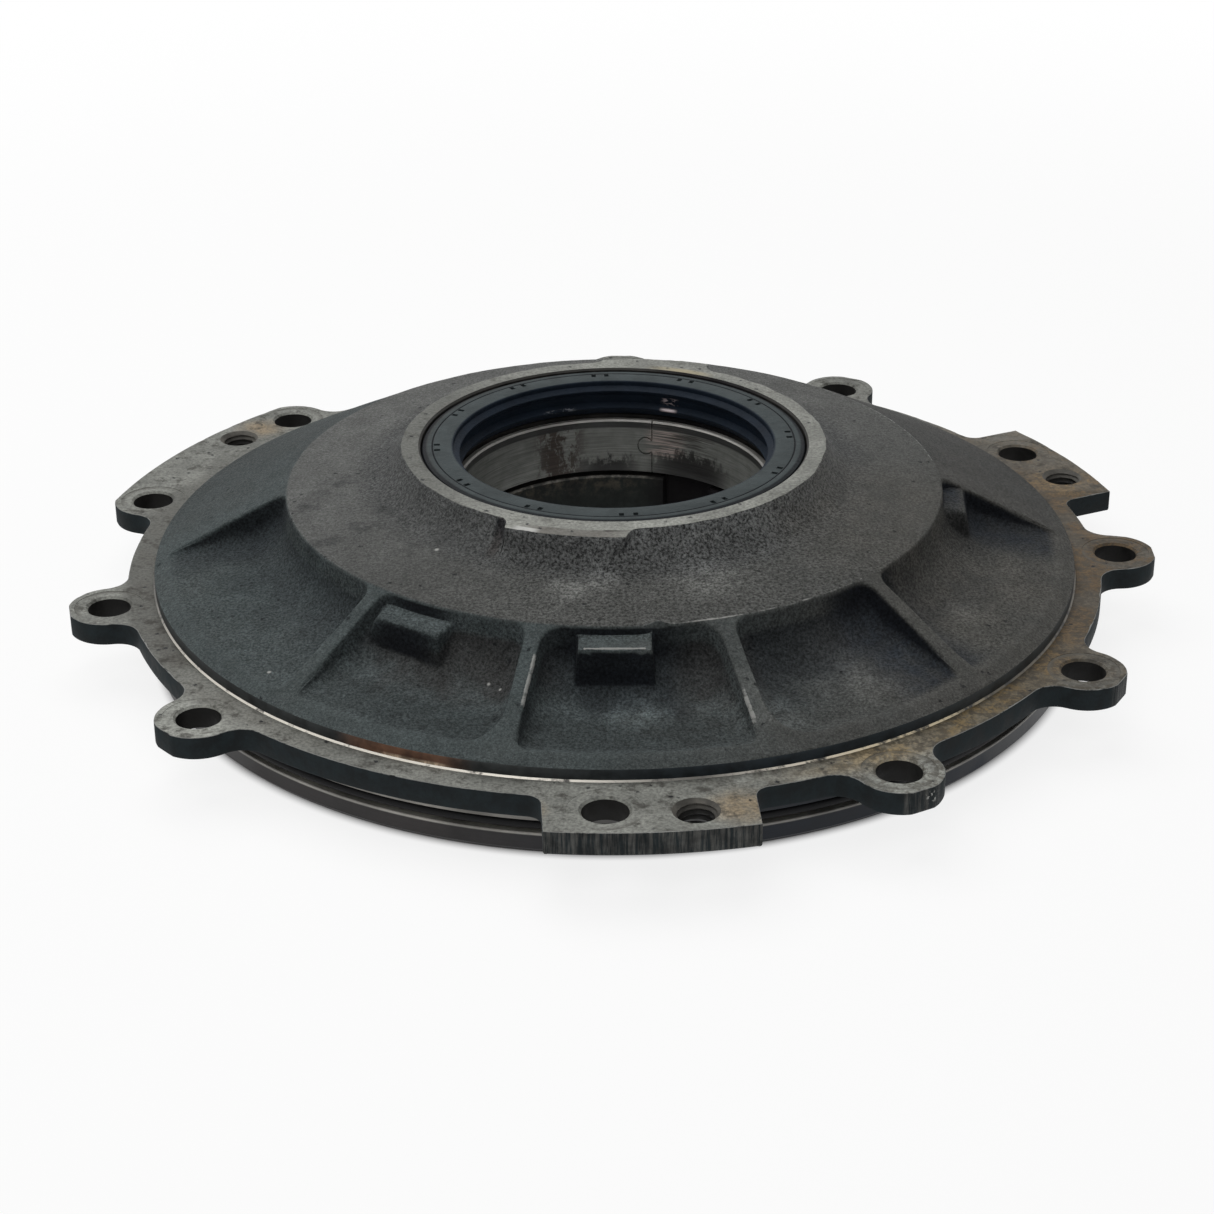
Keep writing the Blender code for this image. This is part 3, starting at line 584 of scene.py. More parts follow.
def bore_line():
    """Bore from the hub foot up to the hub's machined face, each point plain and as the slot widens it."""
    e = EDGE_ROUND
    middle, slot_r = (HUB_FOOT + LEDGE) / 2, LAND_R + SLOT_DEPTH
    plain = [
        (LAND_R + e, HUB_FOOT), (LAND_R, HUB_FOOT + e), (LAND_R, middle), (LAND_R, LEDGE - e),
        (LAND_R + e, LEDGE), (BUSH_SEAT_R, LEDGE), (BUSH_SEAT_R, LEDGE + 3 * e), (BUSH_SEAT_R, SHELF - e),
        (BUSH_SEAT_R + e, SHELF), (SEAL_SEAT_R, SHELF), (SEAL_SEAT_R, HUB_TOP - e),
        (SEAL_SEAT_R + e, HUB_TOP),
    ]
    slotted = [
        (slot_r, HUB_FOOT), (slot_r, HUB_FOOT + e), (slot_r, middle), (slot_r, LEDGE - e),
        (slot_r, LEDGE + e), (BUSH_SEAT_R, LEDGE + 2 * e),
    ]
    return list(zip(plain, slotted + plain[len(slotted):]))


def ring_points(radii, angles, heights):
    return [(r * math.cos(a), r * math.sin(a), z) for r, a, z in zip(radii, angles, heights)]


def boss_share(angle, down):
    """How far a column belongs to a boss on the hub; a boss's right end runs out softly lower down."""
    degrees = math.degrees(angle) % 360
    soft_end = BOSS_BLEND + BOSS_RUN_OUT * down
    best = 0.0
    for start, end, (first, last) in BOSSES:
        rise = smoothstep(start - BOSS_BLEND, start + BOSS_BLEND, degrees)
        share = rise * (1 - smoothstep(end - soft_end, end + soft_end, degrees))
        outside = max(start - degrees, degrees - end)
        fillet = flare(HUB_R * math.radians(outside), BOSS_END_FILLET) / BOSS_REACH if outside > 0 else 0.0
        reach = first + (last - first) * min(1.0, max(0.0, (degrees - start) / (end - start)))
        best = max(best, reach * max(share, fillet))
    return best


def boss_corner(angle):
    """1 in the corner where a boss's left side stands on the hub, where shade is painted."""
    away = min(abs(math.degrees(angle) % 360 - start + BOSS_SHADOW_ANGLE) for start, _, _ in BOSSES)
    return 1 - smoothstep(0.2 * BOSS_SHADOW_ANGLE, 1.2 * BOSS_SHADOW_ANGLE, away)


def in_slot(angle):
    away = (math.degrees(angle) - SLOT_ANGLE + 180) % 360 - 180
    return abs(away) < SLOT_HALF_ANGLE


def ragged(angle, reach):
    """Uneven edge where a machined face runs out into the cast skin."""
    place = Vector((math.cos(angle), math.sin(angle), 0.3))
    return reach * (noise.noise(place * 9) + 0.7 * noise.noise(place * 34))


# Order of the casting's finishes
CAST, MACHINED, SIDE, SPIGOT, BORE, BURNISHED_GLINT = range(6)


def add_loft(skin):
    """Skin from the flange's underside round the foot, bore, hub and dome to the flange's top."""
    radii = dome_radii()
    rows = dome_rows(radii)
    inner_angles = [p.angle for p in rows[0]]
    outer_angles = [p.angle for p in rows[-1]]
    count = len(inner_angles)
    loops, finishes = [], []

    def add(points, finish, **paint):
        loops.append(skin.loop(points, **paint))
        finishes.append(finish)

    spigot, underside = spigot_line(), underside_line()
    for r, z in spigot:
        add(ring_points([r] * count, outer_angles, [z] * count), SPIGOT)
    for i, (r, z) in enumerate(underside):
        share = i / (len(underside) - 1)
        angles = [o + (n - o) * share for o, n in zip(outer_angles, inner_angles)]
        cast = 1.0 if 3 <= i < len(underside) - 2 else 0.0
        add(ring_points([r] * count, angles, [z] * count), SPIGOT if i < 1 else CAST, cast=cast)
    bore = bore_line()
    for i, (plain, slotted) in enumerate(bore):
        picked = [slotted if in_slot(a) else plain for a in inner_angles]
        finish = MACHINED if i == len(bore) - 1 else BORE
        add(ring_points([p[0] for p in picked], inner_angles, [p[1] for p in picked]), finish)
    hub = hub_line(HUB_R, HUB_DRAFT, HUB_FILLET)
    boss = hub_line(HUB_R + BOSS_REACH, BOSS_DRAFT, BOSS_FILLET)
    for i, (plain, raised) in enumerate(zip(hub, boss)):
        shares = [boss_share(a, smoothstep(2, 12, i)) for a in inner_angles]
        rough = 0.45 * MM if i < 5 else 0.0
        rs = [plain[0] + (raised[0] - plain[0]) * s + ragged(a, rough)
              for s, a in zip(shares, inner_angles)]
        zs = [plain[1] + (raised[1] - plain[1]) * s for s in shares]
        corner = 1 - smoothstep(14, 22, i)
        add(ring_points(rs, inner_angles, zs), MACHINED if i < 1 else CAST, cast=smoothstep(2, 8, i),
            wear=1.0 - smoothstep(0, 4, i),
            depth=[BOSS_SHADOW * corner * boss_corner(a) for a in inner_angles])
    for i, (r, row) in enumerate(zip(radii, rows)):
        angles = [p.angle for p in row]
        zs = [lumped(r, p.angle, cone_height(r) - p.drop) if p.drop > 0 else cone_height(r) for p in row]
        zs = [z + burr_height(r, a) for z, a in zip(zs, angles)]
        edge = 1.0 - smoothstep(0.1 * MM, 0.6 * MM, r - PLATEAU_R)
        depths = [min(1.0, max(0.0, cone_height(r) - z) / POCKET_FULL_DEPTH) for z in zs]
        wears = [max(p.wear, edge * edge_wear(p.angle), lump_edge(r, p.angle)) for p in row]
        add(ring_points([r] * count, angles, zs), CAST, cast=1.0 if i < len(radii) - 2 else 0.4,
            wear=wears, depth=depths)
    foot = [(SHOULDER_R - EDGE_ROUND / 4, SHOULDER_TOP - EDGE_ROUND / 3),
            (SHOULDER_R, SHOULDER_TOP - EDGE_ROUND), (SHOULDER_R, FLANGE_TOP + FOOT_LINE),
            (SHOULDER_R + FOOT_LINE, FLANGE_TOP)]
    for i, (r, z) in enumerate(foot):
        finish = BURNISHED_GLINT if i == 2 else BORE
        add(ring_points([r] * count, outer_angles, [z] * count), finish, wear=0.6 if i < 1 else 0.0)
    for first, second, finish in zip(loops, loops[1:], finishes):
        skin.bridge(first, second, finish)
    return loops[0], loops[-1]


# Flange

def ear_side():
    """Half of an ear, from its turned tip to the rim, about the X axis."""
    fillet_r = RIM_R + EAR_FILLET
    span = EAR_RADIUS + EAR_FILLET
    root = math.acos((BOLT_R ** 2 + fillet_r ** 2 - span ** 2) / (2 * BOLT_R * fillet_r))
    center = (fillet_r * math.cos(root), fillet_r * math.sin(root))
    side = math.atan2(center[1], center[0] - BOLT_R)
    tip = math.acos((TIP_R ** 2 - BOLT_R ** 2 - EAR_RADIUS ** 2) / (2 * BOLT_R * EAR_RADIUS))
    points = arc((BOLT_R, 0.0), EAR_RADIUS, tip, side, 16)
    return points + arc(center, EAR_FILLET, side + math.pi, root + math.pi, 8)[1:]


def pad_side():
    """Half of a square pad, from its turned corner to the rim, about the X axis."""
    half = PAD_WIDTH / 2
    y = half + PAD_FILLET
    x = math.sqrt((RIM_R + PAD_FILLET) ** 2 - y ** 2)
    corner = (math.sqrt(TIP_R ** 2 - half ** 2), half)
    fillet = arc((x, y), PAD_FILLET, -math.pi / 2, math.atan2(y, x) - math.pi, 7)
    return [corner] + straight(corner, fillet[0], 6) + fillet[1:]


def turned_arc(radius, first, last):
    """Points on a turned diameter between two outline points, without either."""
    start = math.atan2(first[1], first[0])
    span = (math.atan2(last[1], last[0]) - start) % math.tau
    steps = max(1, round(span * radius / OUTLINE_STEP))
    return arc((0.0, 0.0), radius, start, start + span, steps)[1:-1]


def lobe(first, last, side):
    """Outline of an ear or pad, from the rim out round its turned tip and back."""
    outward = [turned((x, -y), first) for x, y in reversed(side)]
    back = [turned(point, last) for point in side]
    return outward + turned_arc(TIP_R, outward[-1], back[0]) + back


def flange_outline():
    """Flange edge in plan, counter-clockwise."""
    ears = [a for a in RIGHT_HOLES + LEFT_HOLES[2:] if a not in (FRONT_PAD, RIGHT_PAD)]
    lobes = [(a, lobe(a, a, ear_side())) for a in ears]
    for axis in (FRONT_PAD + PAD_TAP / 2, RIGHT_PAD - PAD_TAP / 2):
        lobes.append((axis, lobe(axis, axis, pad_side())))
    lobes.append((LONG_PAD[0], lobe(*LONG_PAD, ear_side())))
    lobes.sort()
    outline = []
    for (_, points), (_, following) in zip(lobes, lobes[1:] + lobes[:1]):
        outline += points + turned_arc(RIM_R, points[-1], following[0])
    return outline


def inset(outline, distances):
    """Outline moved inwards, by its own distance at each point."""
    moved = []
    for i, (x, y) in enumerate(outline):
        before, after = outline[i - 1], outline[(i + 1) % len(outline)]
        along = Vector((after[0] - before[0], after[1] - before[1])).normalized()
        moved.append((x - along.y * distances[i], y + along.x * distances[i]))
    return moved


def chipped(x, y, size):
    """Ragged width of a broken edge."""
    place = Vector((x, y, 0.0))
    chip = max(0.0, noise.noise(place / (9 * MM)) + 0.6 * noise.noise(place / (2.5 * MM)) - 0.15)
    return size * (0.5 + 1.6 * chip)


def add_hole(skin, x, y):
    """Bolt hole with its shallow spot face; gives its mouth loops above and below."""
    floor = FLANGE_TOP - SPOT_DEPTH
    section = [(SPOT_R, FLANGE_TOP, MACHINED), (SPOT_R - SPOT_DEPTH / 2, floor, MACHINED),
               (HOLE_R + HOLE_CHAMFER, floor, MACHINED), (HOLE_R, floor - HOLE_CHAMFER, BORE),
               (HOLE_R, FLANGE_UNDER + HOLE_FOOT_BREAK, BORE),
               (HOLE_R + HOLE_FOOT_BREAK, FLANGE_UNDER, BORE)]
    loops = [skin.loop([(x + px, y + py, z) for px, py in arc((0, 0), r, 0, math.tau, HOLE_STEPS)[:-1]],
                       depth=1.0 if i == 1 else 0.0) for i, (r, z, _) in enumerate(section)]
    for first, second, (_, _, finish) in zip(loops, loops[1:], section):
        skin.bridge(first, second, finish)
    return loops[0], loops[-1]


def thread_radius(turn, z):
    """Wall of a tapped hole: a ridge that climbs one pitch each turn, cut back at both mouths."""
    phase = (z / THREAD_PITCH + turn / math.tau) % 1.0
    ridge = max(0.0, 1 - abs(phase - 0.5) * 2.4)
    mouth = max(z - FLANGE_TOP, FLANGE_UNDER - z) + THREAD_MOUTH_R
    return max(THREAD_MINOR_R + THREAD_DEPTH * (1 - ridge), mouth)


def add_tapped_hole(skin, x, y):
    """Tapped hole with its thread; gives its mouth loops above and below."""
    turns = [math.tau * i / HOLE_STEPS for i in range(HOLE_STEPS)]
    loops = []
    for row in range(THREAD_ROWS + 1):
        z = FLANGE_TOP + (FLANGE_UNDER - FLANGE_TOP) * row / THREAD_ROWS
        wall = ring_points([thread_radius(t, z) for t in turns], turns, [z] * HOLE_STEPS)
        loops.append(skin.loop([(x + px, y + py, z) for px, py, z in wall]))
    for first, second in zip(loops, loops[1:]):
        skin.bridge(first, second, BORE)
    return loops[0], loops[-1]


def add_flange(skin, under_loop, top_loop):
    """Flange plate: its chipped edge, holes, and flat faces that close the skin."""
    outline = flange_outline()
    top_break = [chipped(x, y, SIDE_BREAK) for x, y in outline]
    foot_break = [SIDE_FOOT_BREAK] * len(outline)
    plan = [
        (inset(outline, top_break), FLANGE_TOP),
        (inset(outline, [0.3 * b for b in top_break]), FLANGE_TOP - SIDE_BREAK / 3),
        (outline, FLANGE_TOP - SIDE_BREAK),
        (outline, (FLANGE_TOP + FLANGE_UNDER) / 2),
        (outline, FLANGE_UNDER + SIDE_FOOT_BREAK),
        (inset(outline, [0.3 * b for b in foot_break]), FLANGE_UNDER + SIDE_FOOT_BREAK / 3),
        (inset(outline, foot_break), FLANGE_UNDER),
    ]
    loops = [skin.loop([(x, y, z) for x, y in points], wear=1.0 if i < 2 else 0.0)
             for i, (points, z) in enumerate(plan)]
    for first, second in zip(loops, loops[1:]):
        skin.bridge(first, second, SIDE)
    holes = [add_hole(skin, *turned((BOLT_R, 0.0), a)) for a in RIGHT_HOLES + LEFT_HOLES]
    holes += [add_tapped_hole(skin, *turned((TAP_R, 0.0), a)) for a in TAPPED_HOLES]
    skin.fill([loops[0], top_loop] + [top for top, _ in holes], MACHINED)
    skin.fill([loops[-1], under_loop] + [under for _, under in holes], SPIGOT)


def casting(finishes):
    skin = Skin()
    add_flange(skin, *add_loft(skin))
    return show("casting_skin", skin.mesh("casting_skin", finishes), "cast_iron", "cover_casting")


# Turned rings

def spun(name, section, finish, steps=RING_STEPS):
    """Ring turned about the shaft axis from a closed section."""
    skin = Skin()
    turns = [math.tau * i / steps for i in range(steps)]
    loops = [skin.loop(ring_points([r] * steps, turns, [z] * steps)) for r, z in section]
    for first, second in zip(loops, loops[1:] + loops[:1]):
        skin.bridge(first, second, 0)
    return skin.mesh(name, [finish])


def carved(name, mesh, cutter):
    """Mesh with another cut out of it."""
    body = bpy.data.objects.new(name + "_blank", mesh)
    tool = bpy.data.objects.new(name + "_cutter", cutter)
    for made in (body, tool):
        bpy.context.scene.collection.objects.link(made)
    step = body.modifiers.new("cut", 'BOOLEAN')
    step.operation, step.solver, step.object = 'DIFFERENCE', 'EXACT', tool
    cut = bpy.data.meshes.new_from_object(body.evaluated_get(bpy.context.evaluated_depsgraph_get()))
    cut.name = name
    for made in (body, tool):
        bpy.data.objects.remove(made)
    smooth(cut)
    return cut


# Node trees

class Value:
    """A node's socket that takes part in sums as a number does."""

    def __init__(self, nodes, socket):
        self.nodes, self.socket = nodes, socket

    def maths(self, operation, *others):
        return self.nodes.maths(operation, self, *others)

    def __add__(self, other):
        return self.maths('ADD', other)

    def __sub__(self, other):
        return self.maths('SUBTRACT', other)

    def __rsub__(self, other):
        return self.nodes.maths('SUBTRACT', other, self)

    def __mul__(self, other):
        return self.maths('MULTIPLY', other)

    def __truediv__(self, other):
        return self.maths('DIVIDE', other)

    def __rtruediv__(self, other):
        return self.nodes.maths('DIVIDE', other, self)

    __radd__ = __add__
    __rmul__ = __mul__


class Nodes:
    """Node tree that is built node by node."""

    def __init__(self, tree):
        self.tree = tree

    def node(self, kind, settings=None, inputs=None, output=0):
        """Any node: first its settings, then its sockets' values or links; a list holds several links."""
        made = self.tree.nodes.new(kind)
        for name, value in (settings or {}).items():
            setattr(made, name, value)
        for key, value in (inputs or {}).items():
            for one in value if isinstance(value, list) else [value]:
                if isinstance(one, Value):
                    self.tree.links.new(one.socket, made.inputs[key])
                else:
                    made.inputs[key].default_value = one
        return made if output is None else Value(self, made.outputs[output])

    def maths(self, operation, *values):
        return self.node('ShaderNodeMath', {"operation": operation}, dict(enumerate(values)))

    def most(self, *values):
        """Largest of several values."""
        best = values[0]
        for value in values[1:]:
            best = self.maths('MAXIMUM', best, value)
        return best

    def combine(self, x=0.0, y=0.0, z=0.0):
        return self.node('ShaderNodeCombineXYZ', None, {0: x, 1: y, 2: z})

    def seen(self):
        """1 for rays that show the background: direct, mirrored or through glass."""
        rays = self.node('ShaderNodeLightPath', output=None).outputs
        kinds = ("Camera", "Glossy", "Transmission")
        return self.most(*(Value(self, rays[f"Is {kind} Ray"]) for kind in kinds))


SOCKETS = ((bpy.types.Material, 'NodeSocketMaterial'), (tuple, 'NodeSocketVector'),
           (int, 'NodeSocketInt'), (float, 'NodeSocketFloat'))


class Growth(Nodes):
    """Geometry node tree with named inputs, one of them Finish, that grows one plain mesh."""

    def __init__(self, name, inputs):
        super().__init__(bpy.data.node_groups.new(name, 'GeometryNodeTree'))
        self.name, self.inputs, self.identifiers = name, inputs, {}
        for label, value in inputs.items():
            kind = next(socket for plain_type, socket in SOCKETS if isinstance(value, plain_type))
            made = self.tree.interface.new_socket(label, in_out='INPUT', socket_type=kind)
            self.identifiers[label] = made.identifier
        self.tree.interface.new_socket("Geometry", in_out='OUTPUT', socket_type='NodeSocketGeometry')
        given = self.tree.nodes.new('NodeGroupInput').outputs
        self.given = {label: Value(self, given[label]) for label in inputs}

    def grown(self, geometry):
        """Plain mesh of the geometry, with its instances made real and dressed in its finish."""
        real = self.node('GeometryNodeRealizeInstances', None, {"Geometry": geometry})
        dressed = self.node('GeometryNodeSetMaterial', None,
                            {"Geometry": real, "Material": self.given["Finish"]})
        self.node('NodeGroupOutput', None, {0: dressed}, None)
        holder = bpy.data.objects.new(self.name + "_holder", bpy.data.meshes.new(self.name + "_holder"))
        bpy.context.scene.collection.objects.link(holder)
        grow = holder.modifiers.new("grow", 'NODES')
        grow.node_group = self.tree
        for label, value in self.inputs.items():
            grow[self.identifiers[label]] = value
        mesh = bpy.data.meshes.new_from_object(holder.evaluated_get(bpy.context.evaluated_depsgraph_get()))
        mesh.name = self.name
        holder.modifiers.remove(grow)
        bpy.data.objects.remove(holder)
        return mesh


# Seal
MOUTH_R = SHAFT_R + 1.9 * MM
LIP_R = SHAFT_R - 0.3 * MM
FACE_LINE_R = 58.6 * MM
PIT_R = 57.1 * MM
PIT_ANGLE = 5.5
PIT_COUNT = 12
PIT_PAIR_ANGLE = 4.4
PIT_SIZE = (2.0 * MM, 1.5 * MM, 1.6 * MM)


def seal_section():
    """Rubber seal: face with its moulded line, dust lip, main lip and outer skin."""
    e = 0.5 * MM
    skin_r = SEAL_R - 0.9 * MM
    under = SEAL_TOP - 2.0 * MM
    neck_r = MOUTH_R + 1.9 * MM
    lip_z = SEAL_FOOT + 3.0 * MM
    dust_z = SEAL_TOP - 2.8 * MM
    groove = 1.3 * MM
    spring = ((SPRING_HIGH.x - 1.0 * MM), (SPRING_LOW.z + SPRING_HIGH.z) / 2)
    section = [(SEAL_R, SEAL_FOOT), (SEAL_R, SEAL_TOP - 3 * e), (SEAL_R - e, SEAL_TOP - e)]
    section += [(SEAL_R - 3 * e, SEAL_TOP - 0.2 * e), (FACE_LINE_R + e, SEAL_TOP)]
    section += [(FACE_LINE_R + 0.2 * e, SEAL_TOP - 0.2 * e), (FACE_LINE_R, SEAL_TOP - 0.7 * e)]
    section += [(FACE_LINE_R - 0.2 * e, SEAL_TOP - 0.2 * e), (FACE_LINE_R - e, SEAL_TOP)]
    section += arc((MOUTH_R + e, SEAL_TOP - e), e, math.pi / 2, math.pi, 4)
    dust_r = LIP_R + 0.2 * MM
    section += [(MOUTH_R, dust_z + 1.2 * MM), (dust_r, dust_z), (dust_r, dust_z - 0.3 * MM)]
    section += [(MOUTH_R - 0.3 * MM, dust_z - 2.0 * MM), (MOUTH_R - 0.3 * MM, lip_z + 1.5 * MM)]
    section += [(LIP_R, lip_z + 0.15 * MM), (LIP_R, lip_z - 0.15 * MM), (MOUTH_R, SEAL_FOOT + 0.3 * MM)]
    section += arc(spring, groove, 1.5 * math.pi, math.pi / 2, 8)
    section += [(neck_r, lip_z + 2 * groove), (neck_r, under - 1.3 * MM)]
    return section + [(neck_r + 1.7 * MM, under), (skin_r, under), (skin_r, SEAL_FOOT)]


def seal_pits(finish):
    """Moulded pits in pairs round the seal's face, as cutters."""
    growth = Growth("seal_pits", {
        "Radius": PIT_R, "Pairs": PIT_COUNT, "First angle": math.radians(PIT_ANGLE), "Size": PIT_SIZE,
        "Pair spacing": PIT_R * math.radians(PIT_PAIR_ANGLE), "Height": SEAL_TOP, "Finish": finish})
    given = growth.given
    block = growth.node('GeometryNodeMeshCube', None, {"Size": given["Size"]})
    places = [growth.combine(y=given["Pair spacing"] * side, z=given["Height"]) for side in (-0.5, 0.5)]
    pair = growth.node('GeometryNodeJoinGeometry', None, {0: [
        growth.node('GeometryNodeTransform', None, {"Geometry": block, "Translation": p}) for p in places]})
    circle = growth.node('GeometryNodeMeshCircle', None, {
        "Vertices": given["Pairs"], "Radius": given["Radius"]})
    turn = growth.node('GeometryNodeInputIndex') * (math.tau / given["Pairs"])
    copies = growth.node('GeometryNodeInstanceOnPoints', None, {
        "Points": circle, "Instance": pair, "Rotation": growth.combine(z=turn)})
    return growth.grown(growth.node('GeometryNodeTransform', None, {
        "Geometry": copies, "Rotation": growth.combine(z=given["First angle"])}))


def seal(rubber, pit_rubber):
    blank = spun("seal_rubber_ring", seal_section(), rubber)
    mesh = carved("seal_rubber_ring", blank, seal_pits(pit_rubber))
    return show("seal_rubber_ring", mesh, "seal_rubber", "seal_body")


# Bush
BUSH_BORE_R = SHAFT_R + 0.1 * MM
BUSH_CHAMFER = 0.55 * MM
BUSH_ROWS = 8
SEAM_ANGLE = 75.7
SEAM_WIDTH = 0.55 * MM
SEAM_DEPTH = 0.8 * MM
TONGUE_REACH = 5.6
TONGUE_HALF = 3.1 * MM


def bush_section():
    low = BUSH_FOOT + 0.4 * MM
    rows = [low + (BUSH_TOP - BUSH_CHAMFER - low) * i / BUSH_ROWS for i in range(BUSH_ROWS + 1)]
    section = [(BUSH_R, BUSH_FOOT), (BUSH_BORE_R + 0.3 * MM, BUSH_FOOT)]
    section += [(BUSH_BORE_R, z) for z in rows]
    section += [(BUSH_BORE_R + BUSH_CHAMFER, BUSH_TOP)]
    return section + [(BUSH_R - 0.5 * MM, BUSH_TOP), (BUSH_R, BUSH_TOP - 0.5 * MM)]


def seam_path():
    """Jigsaw seam of the wrapped bush as (angle in degrees, height), from its foot to its top."""
    middle = BUSH_FOOT + 0.52 * (BUSH_TOP - BUSH_FOOT)
    over = 1 * MM
    path = [(SEAM_ANGLE, BUSH_FOOT - over), (SEAM_ANGLE, middle - 0.85 * TONGUE_HALF)]
    for i in range(15):
        a = math.radians(-140 + 20 * i)
        reach = TONGUE_REACH * (0.45 + 0.55 * math.cos(a))
        path.append((SEAM_ANGLE + reach, middle + TONGUE_HALF * math.sin(a)))
    return path + [(SEAM_ANGLE, middle + 0.85 * TONGUE_HALF), (SEAM_ANGLE, BUSH_TOP + over)]


def seam_cutter():
    """Thin wall that follows the seam and reaches a little into the bush."""
    path = [Vector((math.radians(a) * BUSH_BORE_R, z)) for a, z in seam_path()]
    skin = Skin()
    columns = []
    for i, place in enumerate(path):
        along = (path[min(i + 1, len(path) - 1)] - path[max(i - 1, 0)]).normalized()
        across = Vector((-along.y, along.x)) * SEAM_WIDTH / 2
        corners = []
        for r, side in ((BUSH_BORE_R - 1 * MM, -1), (BUSH_BORE_R + SEAM_DEPTH, -1),
                        (BUSH_BORE_R + SEAM_DEPTH, 1), (BUSH_BORE_R - 1 * MM, 1)):
            s, z = place + across * side
            corners.append((r * math.cos(s / BUSH_BORE_R), r * math.sin(s / BUSH_BORE_R), z))
        columns.append(skin.loop(corners))
    for first, second in zip(columns, columns[1:]):
        skin.bridge(first, second, 0)
    for end in (columns[0], columns[-1]):
        skin.faces.append(tuple(end))
        skin.finishes.append(0)
    return skin.mesh("bush_seam", [])


def bush(metal):
    mesh = carved("bush_lining", spun("bush_lining", bush_section(), metal), seam_cutter())
    return show("bush_lining", mesh, "bearing_metal", "shaft_bush")


# Ring in the spigot's groove, and the seal's hidden spring

def spigot_ring(rubber):
    half_r = (RING_HIGH.x - GROOVE_R - FIT_GAP) / 2
    half_z = (RING_HIGH.z - RING_LOW.z) / 2 * 1.12
    center = (RING_HIGH.x - half_r, (RING_HIGH.z + RING_LOW.z) / 2)
    section = []
    for i in range(20):
        a = math.tau * i / 20
        flat = 1 - 0.06 * max(0.0, math.cos(a)) ** 4
        section.append((center[0] + half_r * flat * math.cos(a), center[1] + half_z * math.sin(a)))
    mesh = spun("groove_ring", section, rubber)
    return show("groove_ring", mesh, "ring_rubber", "spigot_ring")


SPRING_TURNS = 420
SPRING_WIRE = 0.32 * MM
SPRING_HALF = 1.0 * MM
TURN_POINTS = 7
WIRE_SIDES = 5


def garter_spring(steel):
    """Closed ring of fine coils, grown along a circle."""
    growth = Growth("lip_spring", {
        "Ring radius": SPRING_HIGH.x - SPRING_HALF, "Height": (SPRING_LOW.z + SPRING_HIGH.z) / 2,
        "Coil radius": (SPRING_HIGH.z - SPRING_LOW.z) / 2 - SPRING_WIRE, "Wire radius": SPRING_WIRE,
        "Turns": SPRING_TURNS, "Turn points": TURN_POINTS, "Wire sides": WIRE_SIDES, "Finish": steel})
    given = growth.given
    count = given["Turns"] * given["Turn points"]
    circle = growth.node('GeometryNodeMeshCircle', None, {
        "Vertices": count, "Radius": given["Ring radius"]})
    round_ring = growth.node('GeometryNodeInputIndex') * (math.tau / count)
    round_wire = round_ring * given["Turns"]
    radius = given["Ring radius"] + given["Coil radius"] * round_wire.maths('COSINE')
    place = growth.combine(radius * round_ring.maths('COSINE'), radius * round_ring.maths('SINE'),
                           given["Height"] + given["Coil radius"] * round_wire.maths('SINE'))
    coil = growth.node('GeometryNodeSetPosition', None, {"Geometry": circle, "Position": place})
    path = growth.node('GeometryNodeMeshToCurve', None, {"Mesh": coil})
    wire = growth.node('GeometryNodeCurvePrimitiveCircle', None, {
        "Resolution": given["Wire sides"], "Radius": given["Wire radius"]})
    mesh = growth.grown(growth.node('GeometryNodeCurveToMesh', None, {
        "Curve": path, "Profile Curve": wire}))
    face_out(mesh)
    smooth(mesh)
    return show("lip_spring", mesh, "spring_steel", "garter_spring")


# Finishes

